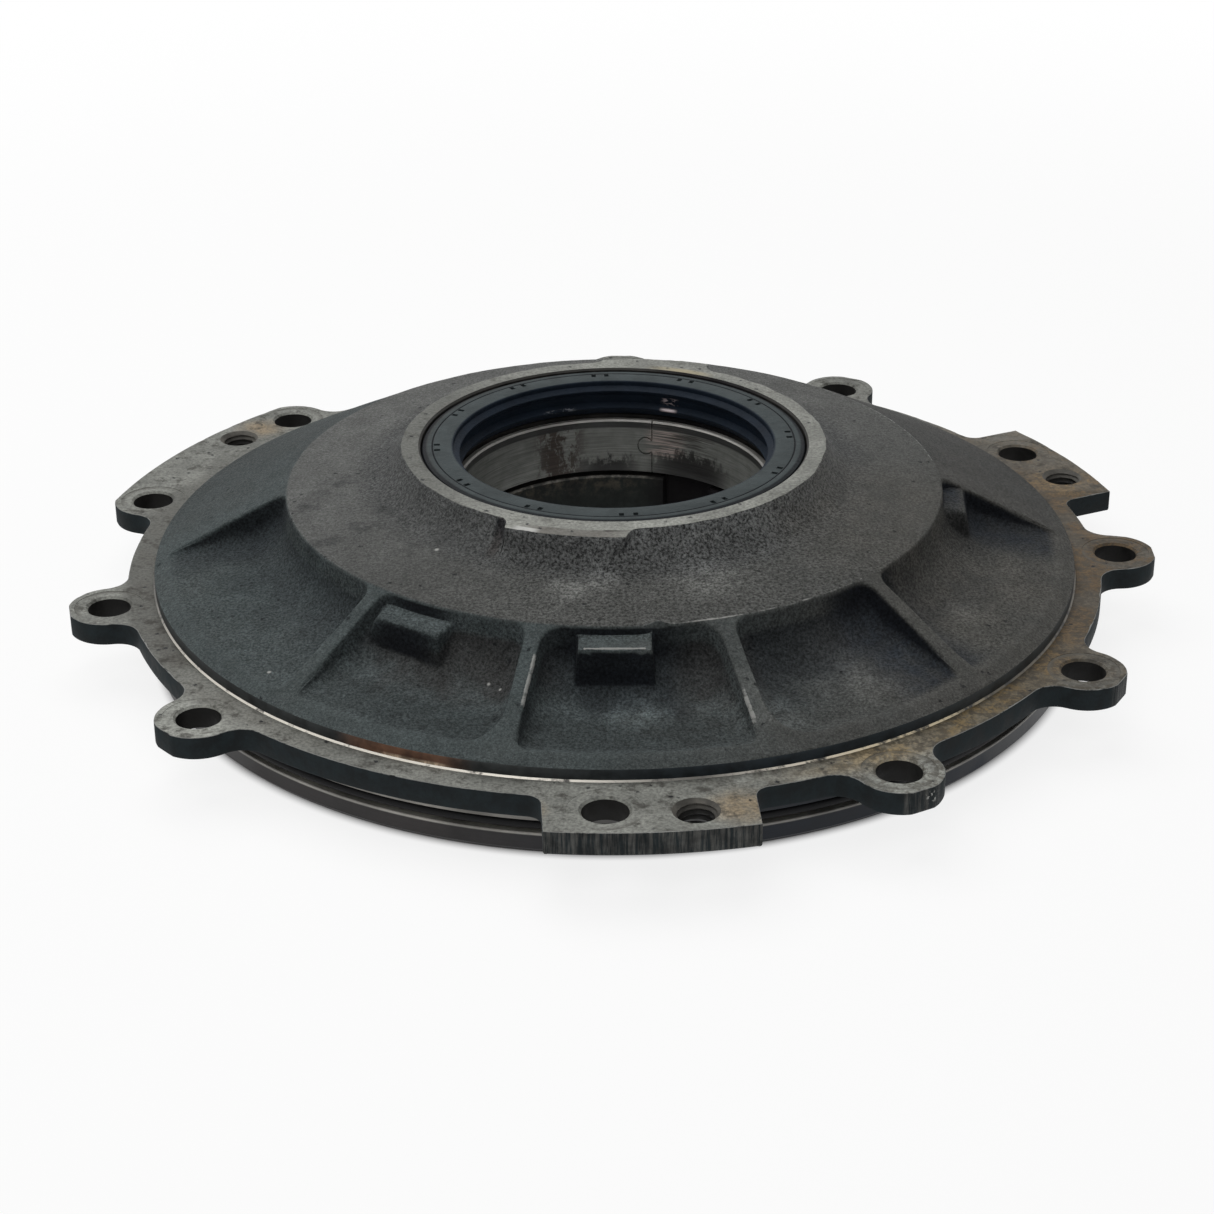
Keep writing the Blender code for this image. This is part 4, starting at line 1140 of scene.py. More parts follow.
class Finish(Nodes):
    """One material: a Principled shader and the nodes that feed it."""

    def __init__(self, name, **fixed):
        self.material = bpy.data.materials.new(name)
        self.material.use_nodes = True
        super().__init__(self.material.node_tree)
        self.shader = self.tree.nodes["Principled BSDF"]
        for socket, value in fixed.items():
            self.shader.inputs[socket.replace("_", " ")].default_value = value
        self.place = self.node('ShaderNodeTexCoord', output="Object")
        axes = self.node('ShaderNodeSeparateXYZ', None, {0: self.place}, None).outputs
        self.x, self.y, self.z = (Value(self, axis) for axis in axes)
        self.r = (self.x * self.x + self.y * self.y).maths('SQRT')

    def feed(self, **values):
        for socket, value in values.items():
            self.tree.links.new(value.socket, self.shader.inputs[socket.replace("_", " ")])

    def noise(self, size, detail=3.0, roughness=0.55, place=None):
        """Cloudy pattern whose features measure about size."""
        return self.node('ShaderNodeTexNoise', None, {
            "Vector": place or self.place, "Scale": 1 / size, "Detail": detail, "Roughness": roughness})

    def cloud(self, size, detail=4.0, roughness=0.6, spread=0.2, place=None):
        """The same pattern stretched to run from 0 to 1."""
        return self.ramp(self.noise(size, detail, roughness, place), 0.5 - spread, 0.5 + spread)

    def spots(self, spacing, size):
        """1 on ragged spots scattered about a spacing apart."""
        cells = {"Vector": self.place, "Scale": 1 / spacing}
        away = self.node('ShaderNodeTexVoronoi', None, cells, "Distance")
        torn = (self.noise(0.7 * size, 3, 0.7) - 0.5) * (1.6 * size)
        return 1 - self.ramp(away * spacing + torn, 0.35 * size, 0.6 * size)

    def attribute(self, name):
        return self.node('ShaderNodeAttribute', {"attribute_name": name}, None, "Fac")

    def ramp(self, value, low, high):
        """0 at low and 1 at high, with soft ends."""
        return self.node('ShaderNodeMapRange', {"interpolation_type": 'SMOOTHSTEP'},
                         {"Value": value, "From Min": low, "From Max": high})

    def mix(self, first, second, share):
        """Colour between two colours."""
        inputs = {0: share}
        for key, color in ((6, first), (7, second)):
            inputs[key] = color if isinstance(color, Value) else (*color, 1.0)
        return self.node('ShaderNodeMix', {"data_type": 'RGBA'}, inputs, 2)

    def shade(self, color, factor):
        """Colour times a number."""
        return self.node('ShaderNodeVectorMath', {"operation": 'SCALE'}, {0: color, "Scale": factor})

    def band(self, value, middle, half_width):
        """1 at a value, fading to 0 a half width to either side."""
        return 1 - self.ramp((value - middle).maths('ABSOLUTE'), 0.3 * half_width, half_width)

    def toward(self, degrees, half_width):
        """1 on the side of the axis at an angle, fading to 0 a half width away."""
        a = math.radians(degrees)
        facing = (self.x * math.cos(a) + self.y * math.sin(a)) / self.r
        return self.ramp(facing, math.cos(math.radians(half_width)), 1.0)

    def at(self, spots):
        """1 at points in plan, each given as x, y and the millimetres over which it fades to 0."""
        masks = []
        for x, y, size in spots:
            dx, dy = self.x - x * MM, self.y - y * MM
            masks.append(1 - self.ramp((dx * dx + dy * dy).maths('SQRT'), 0.2 * size * MM, size * MM))
        return self.most(*masks)

    def at_angles(self, radius, spots):
        """The same at points round a circle, each given as angle and millimetres."""
        return self.at([(*(c / MM for c in turned((radius, 0.0), angle)), size) for angle, size in spots])

    def bump(self, height, distance, strength=1.0):
        self.feed(Normal=self.node('ShaderNodeBump', None, {
            "Strength": strength, "Distance": distance, "Height": height}))


# Tones of the iron
PALE_IRON = (0.112, 0.114, 0.110)
BLUE_IRON = (0.067, 0.082, 0.083)
GREY_IRON = (0.076, 0.075, 0.070)
DULL_IRON = (0.074, 0.075, 0.071)
SLOPE_IRON = (0.072, 0.074, 0.073)
SHADE_IRON = (0.015, 0.018, 0.022)
SHEEN_IRON = (0.082, 0.098, 0.100)
BROWN_IRON = (0.034, 0.028, 0.026)
# Near black: soot on smudges, pits and flecks, and painted shade on steep faces and in creases
SOOT_AND_SHADE = (0.004, 0.005, 0.007)
BRIGHT_IRON = (0.42, 0.42, 0.40)
TURNED_IRON = (0.220, 0.224, 0.203)
DIRTY_IRON = (0.075, 0.072, 0.063)
RUST = (0.112, 0.072, 0.034)
GOLDEN_RUST = (0.180, 0.122, 0.046)
PALE_RUST = (0.270, 0.190, 0.098)
WARM_IRON = (0.076, 0.072, 0.063)
CREAM_STAIN_AND_GLINT = (0.34, 0.29, 0.18)
DARK_BLOT = (0.050, 0.042, 0.030)
DULL_STRIP = (0.085, 0.075, 0.066)
DARK_LINE = (0.030, 0.026, 0.023)
GRIME = (0.044, 0.041, 0.036)
DARK_SIDE = (0.014, 0.019, 0.021)
SAWN_SIDE = (0.084, 0.084, 0.079)
FRESH_IRON = (0.55, 0.55, 0.52)
OILY_FOOT = (0.032, 0.029, 0.029)
TURNED_SPIGOT = (0.26, 0.25, 0.23)
GROOVE_LEDGE = (0.38, 0.37, 0.34)
BLUE_OIL = (0.008, 0.012, 0.019)
OILY_BORE = (0.022, 0.021, 0.019)
SHOULDER_WALL = (0.034, 0.037, 0.037)
BLUE_SHOULDER = (0.016, 0.022, 0.027)
GREEN_OIL = (0.020, 0.024, 0.022)
BROWN_BLOT = (0.056, 0.050, 0.040)
BRIGHT_LIP = (0.20, 0.19, 0.17)
WET_OIL = (0.005, 0.004, 0.005)
THREAD_IRON = (0.17, 0.16, 0.14)
COPPER_STAIN = (0.17, 0.085, 0.05)
COPPER_GLINT = (0.85, 0.66, 0.48)
BURNISHED_GLINT_LINE = (0.75, 0.71, 0.63)
GOLDEN_LINE = (0.62, 0.53, 0.36)
DULL_LINE = (0.05, 0.048, 0.045)

# Tones of the rubber
SEAL_FACE = (0.043, 0.053, 0.055)
BROWN_FACE = (0.034, 0.033, 0.030)
SEAL_INSIDE = (0.007, 0.012, 0.020)
WET_GLINT = (0.50, 0.42, 0.43)
FAINT_GLINT = (0.20, 0.21, 0.23)
DARK_PIT = (0.002, 0.002, 0.002)
PALE_PIT = (0.005, 0.005, 0.006)
DARK_RING = (0.004, 0.004, 0.005)
PALE_RING = (0.012, 0.012, 0.013)

# Tones of the bush's lining
LINING_METAL = (0.225, 0.232, 0.215)
WORN_LINING = (0.160, 0.164, 0.152)
BROWN_STAIN = (0.038, 0.024, 0.018)
COPPER_LINING = (0.42, 0.34, 0.31)
SCORE_MARK = (0.03, 0.024, 0.02)
BLACK_OIL = (0.006, 0.005, 0.005)
BUSH_TOP_SHADE = (0.030, 0.030, 0.030)
BUSH_EDGE = (0.34, 0.33, 0.31)

# Marks on the cast skin, as x, y and size in millimetres: painted sheens where the skin catches light, then
# smudges and specks
PAINTED_SHEENS = ((76, -98, 25), (46, -122, 15), (30, -80, 16), (-12, -87, 9), (-3, -82, 8),
              (9, -122, 14), (109, -62, 9))
SMUDGES = ((-96, -25, 9), (-89, -50, 8), (-78, -43, 8), (-63, -60, 7), (-88, -12, 12),
           (-70, -34, 7), (2, -96, 5))
SPECKS = ((-53, -62, 1.0), (-35, -110, 0.7), (-31.5, -113, 0.6), (-101, -98, 0.9))

# Marks on the flange, as angle and size in millimetres: rust, threads that shine, a bare place on a tip
RUST_SPOTS = ((283.0, 13.0), (285.5, 9.0), (141.5, 12.0), (262.5, 8.0), (20.5, 18.0))
SHINY_THREADS = tuple((angle, 12.0) for angle in TAPPED_HOLES)
BARE_TIP = ((300.8, 2.4),)


def cast_iron():
    f = Finish("sand_cast_iron", Specular_IOR_Level=0.12)
    depth, wear = f.attribute("depth"), f.attribute("wear")
    patches, stains, mottle = f.cloud(34 * MM), f.cloud(14 * MM, 5), f.cloud(5 * MM, 5)
    grain = f.cloud(0.9 * MM, 4, 0.7, 0.17)
    fine = f.cloud(0.5 * MM, 2)
    facing = f.node('ShaderNodeNewGeometry', output="Normal")
    up = f.node('ShaderNodeSeparateXYZ', None, {0: facing}, 2)
    right = f.ramp(f.x, -30 * MM, 90 * MM)
    front = f.toward(273.5, 62)
    outside = f.ramp(f.r, PLATEAU_R - 0.3 * MM, PLATEAU_R + 0.7 * MM)
    sunk = f.ramp(depth, 0.02, 0.10)
    top = f.mix(PALE_IRON, DULL_IRON, f.ramp(f.y - f.x * 0.5, 30 * MM, -85 * MM) * 0.8 + right * 0.35)
    slope = (1 - f.ramp(f.r, HUB_R + 8 * MM, HUB_R + 19 * MM)) * (1 - outside)
    top = f.mix(top, SLOPE_IRON, slope)
    color = f.mix(top, f.mix(BLUE_IRON, GREY_IRON, right * 0.8 + 0.2 * patches), outside)
    color = f.shade(color, 1 - 0.16 * sunk - 0.46 * outside * f.ramp(f.y, -50 * MM, 50 * MM))
    color = f.mix(color, SHEEN_IRON, sunk * outside * f.toward(258, 48) * (0.3 + 0.4 * mottle))
    # Painted shade near the pocket walls and in the boss's corner.
    wall = f.mix(SHADE_IRON, BROWN_IRON, f.most(f.toward(246, 20), f.toward(286, 8) * 0.7))
    near_wall = (1 - f.ramp(f.r + 10 * MM * stains, 118 * MM, 139 * MM)) * f.ramp(depth, 0.27, 0.42)
    color = f.mix(color, wall, f.most(near_wall, sunk * (1 - outside)) * (0.44 + 0.22 * front))
    # Painted shade on the pocket floors just before the bank.
    bank = f.band(f.r, POCKET_END_R - 10 * MM, 12 * MM) * sunk * f.toward(261, 40)
    color = f.mix(color, f.shade(color, 0.55), bank * (0.8 + 0.2 * stains))
    shadow = f.most(f.toward(RIBS[4] - 2, 10), f.toward(RIBS[5] - 3, 9), 0.5 * f.toward(RIBS[0] + 2, 7))
    shadow = shadow * f.ramp(depth, 0.02, 0.12)
    color = f.mix(color, SHADE_IRON, shadow * (0.65 + 0.35 * mottle))
    # Painted shade: steep faces go near black, most of all the lumps' fronts and the shadowed flanks.
    steep = (1 - f.ramp(up, 0.25, 0.80)) * f.ramp(depth, 0.01, 0.06)
    shaded_faces = f.most(f.toward(271, 14), f.toward(238, 8), shadow)
    color = f.mix(color, SOOT_AND_SHADE, steep * (0.20 + 0.75 * shaded_faces))
    # Painted light: steep faces of the hub's slope are lightened, more so towards the right.
    standing = (1 - f.ramp(up, 0.35, 0.92)) * slope
    rising = 0.75 * f.ramp(f.x, -70 * MM, 30 * MM) + 0.3 * f.ramp(f.x, 40 * MM, 75 * MM)
    color = f.shade(color, 1 + standing * (0.15 + rising))
    # Painted sheen: the skin is lightened round the listed spots.
    color = f.shade(color, 1 + 0.95 * f.at(PAINTED_SHEENS) * (0.4 + 0.6 * mottle))
    warm = f.toward(338, 32) * (1 - shadow) * (0.5 + 0.5 * stains)
    color = f.mix(color, WARM_IRON, warm * 0.6)
    coarse = 0.5 + 0.5 * f.most(sunk, slope) + 0.8 * (1 - outside) * f.toward(285, 62)
    color = f.shade(color, 1 + (grain - 0.5) * coarse * 0.95)
    color = f.shade(color, (0.76 + 0.48 * fine) * (0.92 + 0.16 * mottle))
    color = f.shade(color, 0.88 + 0.24 * stains)
    smudged = f.at(SMUDGES) * f.ramp(f.noise(6 * MM, 4, 0.5), 0.44, 0.62) * 0.6
    pits = f.spots(6 * MM, 1.4 * MM) * f.ramp(f.noise(24 * MM, 3), 0.47, 0.57)
    color = f.mix(color, SOOT_AND_SHADE, f.most(smudged, pits) * 0.75)
    scuffed = f.ramp(wear * 0.7 + 0.9 * f.noise(2.2 * MM, 5, 0.7), 1.04, 1.26)
    color = f.mix(color, BRIGHT_IRON, scuffed * 0.7)
    color = f.mix(color, BRIGHT_IRON, f.at(SPECKS))
    f.feed(Base_Color=color, Roughness=0.78 - 0.18 * grain - 0.18 * scuffed + 0.2 * steep)
    f.bump(grain * 0.8 + fine * 0.35 - pits * 0.8, 0.24 * MM, 0.9)
    return f.material


def machined_iron():
    f = Finish("machined_iron", Specular_IOR_Level=0.18)
    cloud, fine = f.cloud(15 * MM, 5), f.cloud(1.0 * MM, 4)
    turning = f.noise(0.5 * MM, 2, 0.5, f.combine(f.r))
    flecks = f.spots(5 * MM, 1.3 * MM) * f.ramp(f.noise(10 * MM, 3), 0.42, 0.52)
    grime = f.ramp(f.noise(5 * MM, 6, 0.7), 0.50, 0.68)
    flange = f.ramp(f.r, 140 * MM, 146 * MM)
    rim = flange * (1 - f.ramp(f.r + 5 * MM * cloud, 159 * MM, 167 * MM))
    sides = f.most(f.toward(195, 62), f.toward(5, 60))
    dirty = rim * sides * (0.35 + 0.65 * cloud)
    patchy = 0.55 + 0.45 * f.ramp(cloud + fine * 0.3, 0.35, 0.85)
    rusty = f.toward(2, 50) * flange * patchy
    golden = f.toward(314, 30) * rim * patchy
    color = f.mix(f.mix(TURNED_IRON, DIRTY_IRON, dirty), GOLDEN_RUST, golden * 0.85)
    color = f.mix(color, RUST, rusty * 0.95)
    color = f.mix(color, PALE_RUST, f.at_angles(TAP_R, RUST_SPOTS) * patchy * 0.65)
    bright = f.most(0.4 * f.toward(285, 30), 1.2 * f.toward(223, 15), 1.1 * f.toward(300, 7))
    left_dirt = 0.55 * f.toward(178, 70) * (0.4 + 0.6 * cloud)
    ring_dirt = (1 - flange) * (0.12 + left_dirt - 0.12 * f.toward(265, 60))
    color = f.shade(color, 0.78 + 0.40 * cloud - 0.24 * flange * (1 - 1.4 * bright) - ring_dirt)
    color = f.shade(color, (0.66 + 0.68 * fine) * (0.90 + 0.20 * turning))
    # Cream stain on the ring's inner edge, partly a painted highlight.
    cream = f.band(f.r, SEAL_SEAT_R + 1.5 * MM, 3 * MM) * f.toward(70, 12)
    color = f.mix(color, CREAM_STAIN_AND_GLINT, cream * (0.3 + 0.5 * cloud))
    blots = f.ramp(f.noise(3.4 * MM, 5, 0.7), 0.46, 0.58) * flange * f.toward(340, 75)
    color = f.mix(color, DARK_BLOT, blots * 0.85)
    strip = f.ramp(f.r, HUB_R + 0.6 * MM, HUB_R + 1.4 * MM) * (1 - flange) * f.toward(261, 16)
    color = f.mix(color, DULL_STRIP, strip * (0.4 + 0.6 * cloud))
    # Painted highlight: a thin glint along the boss's outer edge.
    boss_glint = f.ramp(f.r, HUB_R + 2.8 * MM, HUB_R + 3.6 * MM) * (1 - flange) * f.toward(249.5, 4)
    color = f.mix(color, BRIGHT_IRON, boss_glint)
    line = f.band(f.r, HUB_R + 1.2 * MM, 0.9 * MM) * f.toward(266, 11) * f.ramp(cloud, 0.2, 0.7)
    color = f.mix(color, DARK_LINE, line)
    color = f.mix(color, GRIME, grime * (0.25 + 0.55 * flange))
    color = f.mix(color, SOOT_AND_SHADE, flecks * 0.9)
    ringed = f.most(f.ramp(cloud, 0.45, 0.85), 0.85 * f.toward(325, 48))
    color = f.mix(color, DIRTY_IRON, f.ramp(f.attribute("depth"), 0.35, 1.0) * ringed * 0.8)
    f.feed(Base_Color=color, Metallic=0.30 - 0.25 * rusty, Roughness=0.50 + 0.20 * grime + 0.10 * fine)
    f.bump(fine * 0.4 + turning * 0.25 - flecks * 0.8, 0.14 * MM, 0.7)
    return f.material


def flange_side():
    f = Finish("flange_side", Specular_IOR_Level=0.15)
    tip = f.ramp(f.r, TIP_R - 1.2 * MM, TIP_R - 0.5 * MM) * f.toward(292, 68)
    streaks = f.ramp(f.noise(1.0 * MM, 4, 0.7, f.combine(f.x, f.y, f.z * 0.06)), 0.40, 0.62)
    cloud = f.cloud(5 * MM, 5)
    color = f.mix(DARK_SIDE, SAWN_SIDE, tip * streaks)
    color = f.shade(color, 0.5 + 0.9 * cloud)
    chips = f.ramp(f.attribute("wear") + f.noise(2.5 * MM, 4) * 0.9, 1.22, 1.46)
    color = f.mix(color, BRIGHT_IRON, chips * 0.55)
    bare = f.at_angles(TIP_R, BARE_TIP) * f.band(f.z, FLANGE_TOP - 3.0 * MM, 2.2 * MM)
    color = f.mix(color, FRESH_IRON, bare * f.ramp(f.noise(1.2 * MM, 3), 0.54, 0.60))
    f.feed(Base_Color=color, Roughness=0.62 + 0.2 * cloud - 0.15 * tip, Metallic=0.05 + 0.25 * tip)
    f.bump(streaks * tip * 0.6 + cloud * 0.35, 0.3 * MM, 0.8)
    return f.material


def spigot_iron():
    f = Finish("turned_oily_iron", Specular_IOR_Level=0.35)
    cloud = f.cloud(18 * MM)
    lines = f.noise(0.35 * MM, 2, 0.5, f.combine(f.z))
    upper = f.ramp(f.z, GROOVE_TOP - 1 * MM, GROOVE_TOP)
    # Painted light: the groove's lower flank, which faces up, is made lighter, and so is the groove within.
    ledge = f.ramp(f.z, GROOVE_FOOT - 1.0 * MM, GROOVE_FOOT - 0.5 * MM) * (1 - upper)
    color = f.mix(OILY_FOOT, TURNED_SPIGOT, upper)
    color = f.mix(color, GROOVE_LEDGE, ledge)
    color = f.mix(color, BLUE_OIL, f.toward(305, 55) * (1 - 0.8 * ledge) * 0.95)
    color = f.shade(color, (0.65 + 0.7 * cloud) * (0.80 + 0.4 * lines))
    f.feed(Base_Color=color, Roughness=0.38 + 0.2 * cloud, Metallic=0.25 + 0.2 * upper)
    f.bump(lines, 0.05 * MM, 0.5)
    return f.material


def bore_iron():
    f = Finish("dark_oily_iron", Specular_IOR_Level=0.2)
    cloud = f.cloud(6 * MM, 5)
    shoulder = f.ramp(f.r, 145 * MM, 148 * MM) * f.ramp(f.z, FLANGE_TOP, FLANGE_TOP + 0.3 * MM)
    land = 1 - f.ramp(f.r, LAND_R + EDGE_ROUND, LAND_R + 2 * EDGE_ROUND)
    color = f.mix(OILY_BORE, SHOULDER_WALL, shoulder)
    color = f.mix(color, BLUE_SHOULDER, shoulder * f.toward(290, 28) * 0.9)
    blots = f.ramp(f.noise(3 * MM, 5, 0.7), 0.42, 0.62)
    color = f.mix(color, GREEN_OIL, land * 0.9)
    high = f.ramp(f.z, LEDGE - 9 * MM, LEDGE - 2 * MM) * (1 - 0.7 * f.toward(SLOT_ANGLE + 8, 18))
    color = f.mix(color, BROWN_BLOT, land * blots * high)
    # Painted highlight along the land's top edge.
    lip = land * f.ramp(f.z, LEDGE - 1.4 * EDGE_ROUND, LEDGE - 0.6 * EDGE_ROUND)
    color = f.mix(color, BRIGHT_LIP, lip * (1 - f.toward(SLOT_ANGLE - 10, 32)) * (0.3 + 0.7 * blots))
    oily = f.toward(SLOT_ANGLE - 4, 26) * (1 - f.ramp(f.r, 60 * MM, 70 * MM))
    color = f.mix(color, WET_OIL, oily)
    # Painted shade: the walls of the bolt and tapped holes are darkened.
    holes = f.ramp(f.r, SHOULDER_R + 2 * MM, SHOULDER_R + 3 * MM)
    color = f.shade(color, 1 - 0.6 * holes)
    shiny = f.at_angles(TAP_R, SHINY_THREADS) * f.ramp(f.z, FLANGE_TOP - 4.5 * MM, FLANGE_TOP)
    color = f.mix(color, THREAD_IRON, shiny * 0.9)
    color = f.mix(color, COPPER_STAIN, f.toward(247, 9) * shoulder * 0.85)
    low = 1 - f.ramp(f.z, FLANGE_TOP + 0.8 * MM, FLANGE_TOP + 1.8 * MM)
    color = f.mix(color, COPPER_GLINT, f.toward(248.5, 5) * shoulder * low * (0.5 + 0.5 * blots))
    color = f.shade(color, 0.5 + 0.9 * cloud)
    f.feed(Base_Color=color, Roughness=0.42 + 0.3 * cloud + 0.3 * oily,
           Metallic=(0.15 + 0.1 * cloud) * (1 - oily) * (1 - 0.8 * holes))
    f.bump(cloud, 0.12 * MM, 0.6)
    return f.material


def burnished_glint_iron():
    f = Finish("burnished_edge", Specular_IOR_Level=0.4)
    # A burnished line at the shoulder's foot, with a painted highlight on the sides where it is lit.
    broken = f.ramp(f.noise(8 * MM, 5, 0.7) + 0.08 * f.toward(218, 75), 0.40, 0.53)
    lit = f.most(f.toward(236, 48), f.toward(300, 22), 0.12)
    bare = f.mix(BURNISHED_GLINT_LINE, GOLDEN_LINE, f.ramp(f.x, 30 * MM, 90 * MM))
    color = f.mix(DULL_LINE, bare, broken * lit)
    f.feed(Base_Color=color, Metallic=0.2 + 0.3 * broken, Roughness=0.5 - 0.18 * broken)
    return f.material


def seal_rubber():
    f = Finish("seal_rubber", Specular_IOR_Level=0.08)
    cloud, fine = f.cloud(9 * MM, 5), f.noise(0.9 * MM, 3)
    inside = 1 - f.ramp(f.r, MOUTH_R + 0.1 * MM, MOUTH_R + 0.9 * MM)
    brown = f.ramp(f.r, FACE_LINE_R, SEAL_R) * f.toward(165, 70)
    color = f.mix(SEAL_FACE, BROWN_FACE, brown)
    color = f.mix(color, SEAL_INSIDE, inside)
    # Painted shade: near black in the moulded face line and round the seal's rim, by the gap to the
    # casting.
    rim = f.ramp(f.r, SEAL_R - 2.1 * MM, SEAL_R - 1.3 * MM)
    edges = f.most(f.band(f.r, FACE_LINE_R, 0.45 * MM), rim)
    color = f.mix(color, SOOT_AND_SHADE, edges * 0.9)
    color = f.shade(color, 0.78 + 0.4 * cloud)
    smear = f.ramp(f.noise(3 * MM, 5, 0.7, f.combine(f.x, f.y, f.z * 3)), 0.50, 0.60)
    upper, lower = f.band(f.z, SEAL_TOP - 6.2 * MM, 1.6 * MM), f.band(f.z, SEAL_TOP - 8.8 * MM, 0.7 * MM)
    glint = f.toward(69, 4) * f.most(upper * smear, lower)
    wet = inside * f.most(glint, 0.3 * smear * upper * f.toward(112, 22))
    color = f.mix(color, WET_GLINT, inside * glint)
    color = f.mix(color, FAINT_GLINT, inside * smear * lower * f.toward(112, 9) * 0.8)
    f.feed(Base_Color=color, Roughness=0.50 - 0.34 * wet + 0.12 * fine, Coat_Weight=wet * 0.6)
    f.bump(fine * 0.5 + cloud + smear * 0.8, 0.10 * MM, 0.6)
    return f.material


def pit_rubber():
    # Painted shade: the pits' walls are near black.
    f = Finish("pit_rubber", Roughness=0.8, Specular_IOR_Level=0.05)
    f.feed(Base_Color=f.mix(DARK_PIT, PALE_PIT, f.noise(1 * MM)))
    return f.material


def bearing_metal():
    f = Finish("bearing_metal", Specular_IOR_Level=0.4)
    height = (f.z - BUSH_FOOT) / (BUSH_TOP - BUSH_FOOT)
    scoring = f.cloud(0.5 * MM, 3, place=f.combine(f.x * 0.03, f.y * 0.03, f.z))
    cloud = f.cloud(9 * MM, 5)
    ragged_edge = f.noise(2.2 * MM, 6, 0.75, f.combine(f.x, f.y, f.z * 0.55))
    color = f.mix(LINING_METAL, WORN_LINING, cloud)
    brown = f.toward(113, 13) * f.ramp(cloud * 0.4 + 1.6 * ragged_edge, 0.86, 1.06)
    color = f.mix(color, BROWN_STAIN, brown * 0.9)
    worn = f.toward(70, 10) * f.ramp(scoring, 0.2, 0.7) * f.ramp(height, 0.25, 0.4)
    color = f.mix(color, COPPER_LINING, worn * 0.85)
    lines = f.noise(0.9 * MM, 3, 0.6, f.combine(f.x * 0.06, f.y * 0.06, f.z))
    score = f.toward(60, 16) * f.ramp(lines, 0.52, 0.60)
    color = f.mix(color, SCORE_MARK, score * 0.7)
    stain = f.most(f.toward(93, 15), f.toward(58, 24))
    low = (1 - f.ramp(height - 0.9 * (ragged_edge - 0.5) - 0.2 * f.toward(56, 20), 0.16, 0.36)) * stain
    color = f.mix(color, BLACK_OIL, low * 0.95)
    # Painted shade on the lining just under its top edge.
    top_shade = f.ramp(height, 0.84, 0.87) * (1 - f.ramp(height, 0.968, 0.972))
    color = f.mix(color, BUSH_TOP_SHADE, top_shade * 0.9)
    # Painted highlight on the lining's top chamfer.
    color = f.mix(color, BUSH_EDGE, f.ramp(height, 0.968, 0.974) * 0.9)
    color = f.shade(color, 0.72 + 0.5 * scoring)
    f.feed(Base_Color=color, Metallic=0.25 - 0.2 * low, Roughness=0.32 + 0.2 * cloud)
    f.bump(scoring, 0.06 * MM, 0.6)
    return f.material


def ring_rubber():
    f = Finish("ring_rubber", Specular_IOR_Level=0.2)
    cloud = f.noise(6 * MM, 4)
    f.feed(Base_Color=f.mix(DARK_RING, PALE_RING, cloud), Roughness=0.5 + 0.25 * cloud)
    return f.material


def plain_steel(name, tone):
    f = Finish(name, Metallic=1.0)
    cloud = f.noise(3 * MM, 4)
    f.feed(Base_Color=f.mix([0.7 * tone] * 3, [1.1 * tone] * 3, cloud), Roughness=0.28 + 0.2 * cloud)
    return f.material


# Stage: pale floor, soft light and the camera

# Camera: where it aims, how far it stands, and how it is turned
AIM = Vector((-2.515 * MM, -0.044 * MM, 3.41 * MM))
CAMERA_DISTANCE = 887.06 * MM
CAMERA_AZIMUTH = 1.177
CAMERA_ELEVATION = 26.667
CAMERA_ROLL = -0.426
LENS = 78.80
SENSOR = 36.0
FLOOR_HALF = 6.0
FLOOR_DROP = 0.2 * MM
FLOOR_GLOW = 0.84
ROOM_LIGHT = 0.2

# Lamps: name, place, size in metres and watts
LAMPS = (("overhead", (-0.35, 0.30, 1.4), (1.6, 1.6), 18.0),
         ("front_fill", (-0.2, -1.1, 1.2), (0.8, 0.5), 3.0))


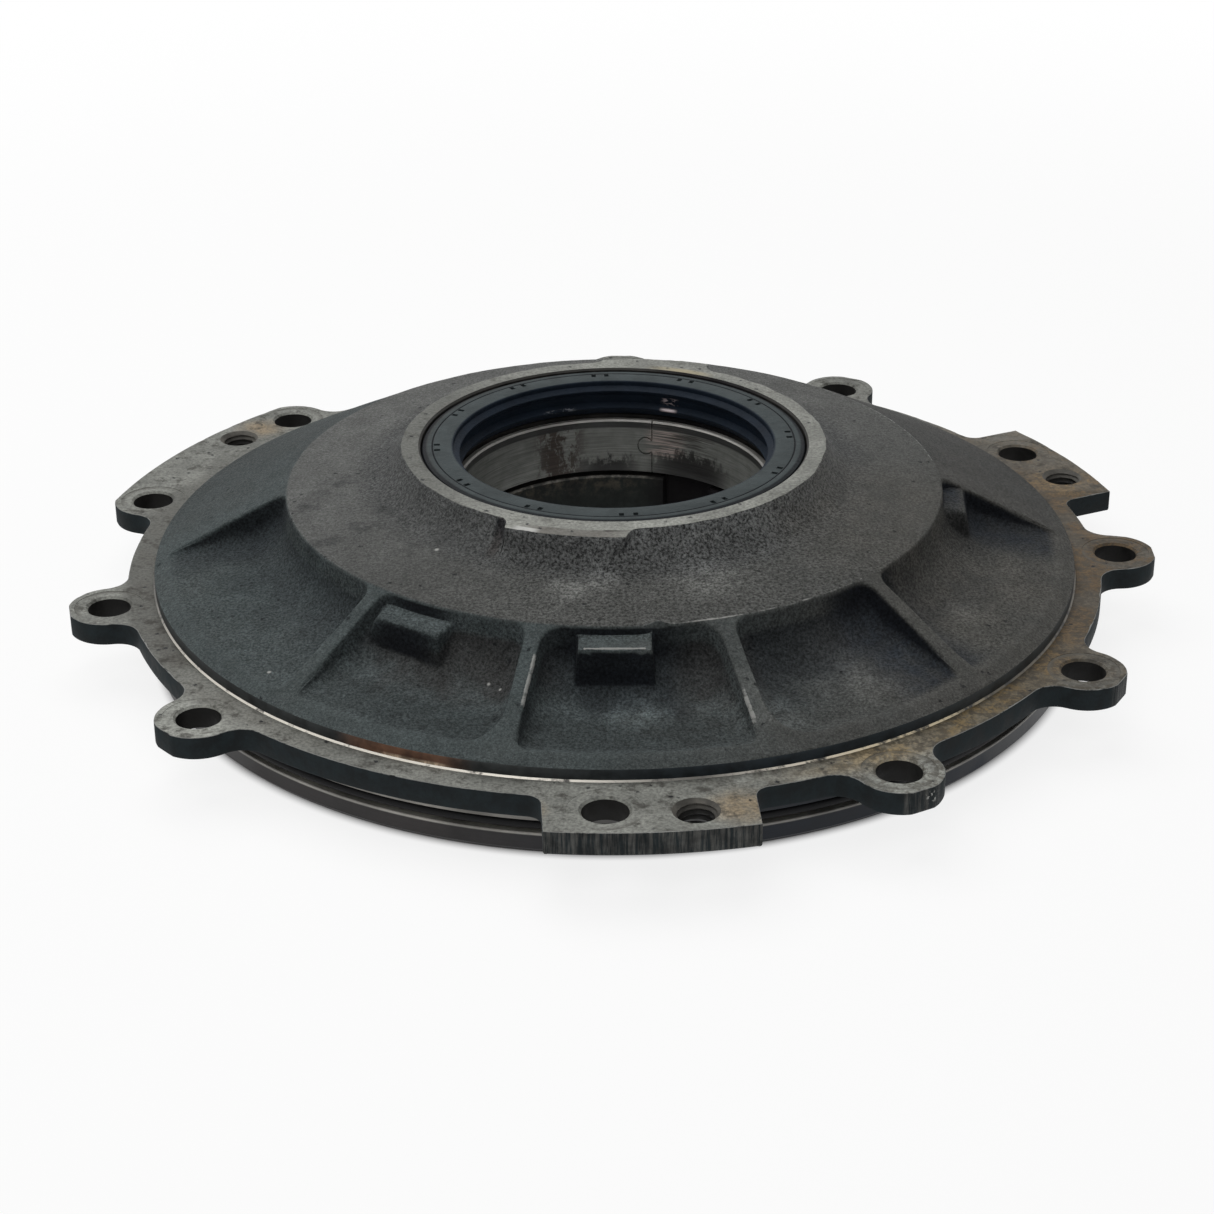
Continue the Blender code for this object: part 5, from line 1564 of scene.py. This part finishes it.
def floor():
    """Pale floor: mostly white where it is seen, so that only the shadow shows on it."""
    mesh = bpy.data.meshes.new("floor")
    corners = [(-1, -1), (1, -1), (1, 1), (-1, 1)]
    points = [(x * FLOOR_HALF, y * FLOOR_HALF, -FLOOR_DROP) for x, y in corners]
    mesh.from_pydata(points, [], [(0, 1, 2, 3)])
    made = bpy.data.objects.new("floor", mesh)
    bpy.context.scene.collection.objects.link(made)
    f = Finish("pale_floor", Base_Color=(0.95, 0.95, 0.95, 1.0), Roughness=0.9, Specular_IOR_Level=0.0)
    glow = f.node('ShaderNodeEmission', None, {"Color": (1, 1, 1, 1), "Strength": 1.0})
    near, far = f.ramp(f.r, SPIGOT_R - 3 * MM, SPIGOT_R + 2.5 * MM), f.ramp(f.r, 2 * TIP_R, 5 * TIP_R)
    share = f.seen() * (FLOOR_GLOW * near + (1 - FLOOR_GLOW) * far)
    mixed = f.node('ShaderNodeMixShader', None, {0: share, 1: Value(f, f.shader.outputs[0]), 2: glow})
    f.tree.links.new(mixed.socket, f.tree.nodes["Material Output"].inputs[0])
    mesh.materials.append(f.material)


def area_light(name, place, size, power):
    light = bpy.data.lights.new(name, 'AREA')
    light.shape, light.size, light.size_y, light.energy = 'RECTANGLE', *size, power
    made = bpy.data.objects.new(name, light)
    made.location = place
    made.rotation_euler = (AIM - Vector(place)).to_track_quat('-Z', 'Y').to_euler()
    bpy.context.scene.collection.objects.link(made)


def surroundings():
    """White where it is seen or mirrored, and a low even light elsewhere."""
    world = bpy.data.worlds.new("studio")
    bpy.context.scene.world = world
    world.use_nodes = True
    nodes = Nodes(world.node_tree)
    back = nodes.tree.nodes["Background"].inputs
    back["Color"].default_value = (1, 1, 1, 1)
    nodes.tree.links.new((ROOM_LIGHT + (1 - ROOM_LIGHT) * nodes.seen()).socket, back["Strength"])


def camera():
    lens = bpy.data.cameras.new("photo_camera")
    lens.lens, lens.sensor_width, lens.sensor_fit = LENS, SENSOR, 'HORIZONTAL'
    lens.clip_start, lens.clip_end = 0.05, 50.0
    made = bpy.data.objects.new("photo_camera", lens)
    azimuth, elevation = math.radians(CAMERA_AZIMUTH), math.radians(CAMERA_ELEVATION)
    back = Vector((math.sin(azimuth) * math.cos(elevation), -math.cos(azimuth) * math.cos(elevation),
                   math.sin(elevation)))
    made.location = AIM + back * CAMERA_DISTANCE
    made.rotation_mode = 'QUATERNION'
    roll = Quaternion((0, 0, 1), math.radians(CAMERA_ROLL))
    made.rotation_quaternion = back.to_track_quat('Z', 'Y') @ roll
    bpy.context.scene.collection.objects.link(made)
    bpy.context.scene.camera = made


def main():
    bpy.context.scene.view_settings.view_transform = 'Standard'
    casting([cast_iron(), machined_iron(), flange_side(), spigot_iron(), bore_iron(), burnished_glint_iron()])
    seal(seal_rubber(), pit_rubber())
    bush(bearing_metal())
    spigot_ring(ring_rubber())
    garter_spring(plain_steel("spring_wire", 0.5))
    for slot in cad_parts["seal_case"].material_slots:
        slot.material = plain_steel("case_sheet", 0.45)
    floor()
    surroundings()
    for lamp in LAMPS:
        area_light(*lamp)
    camera()


main()
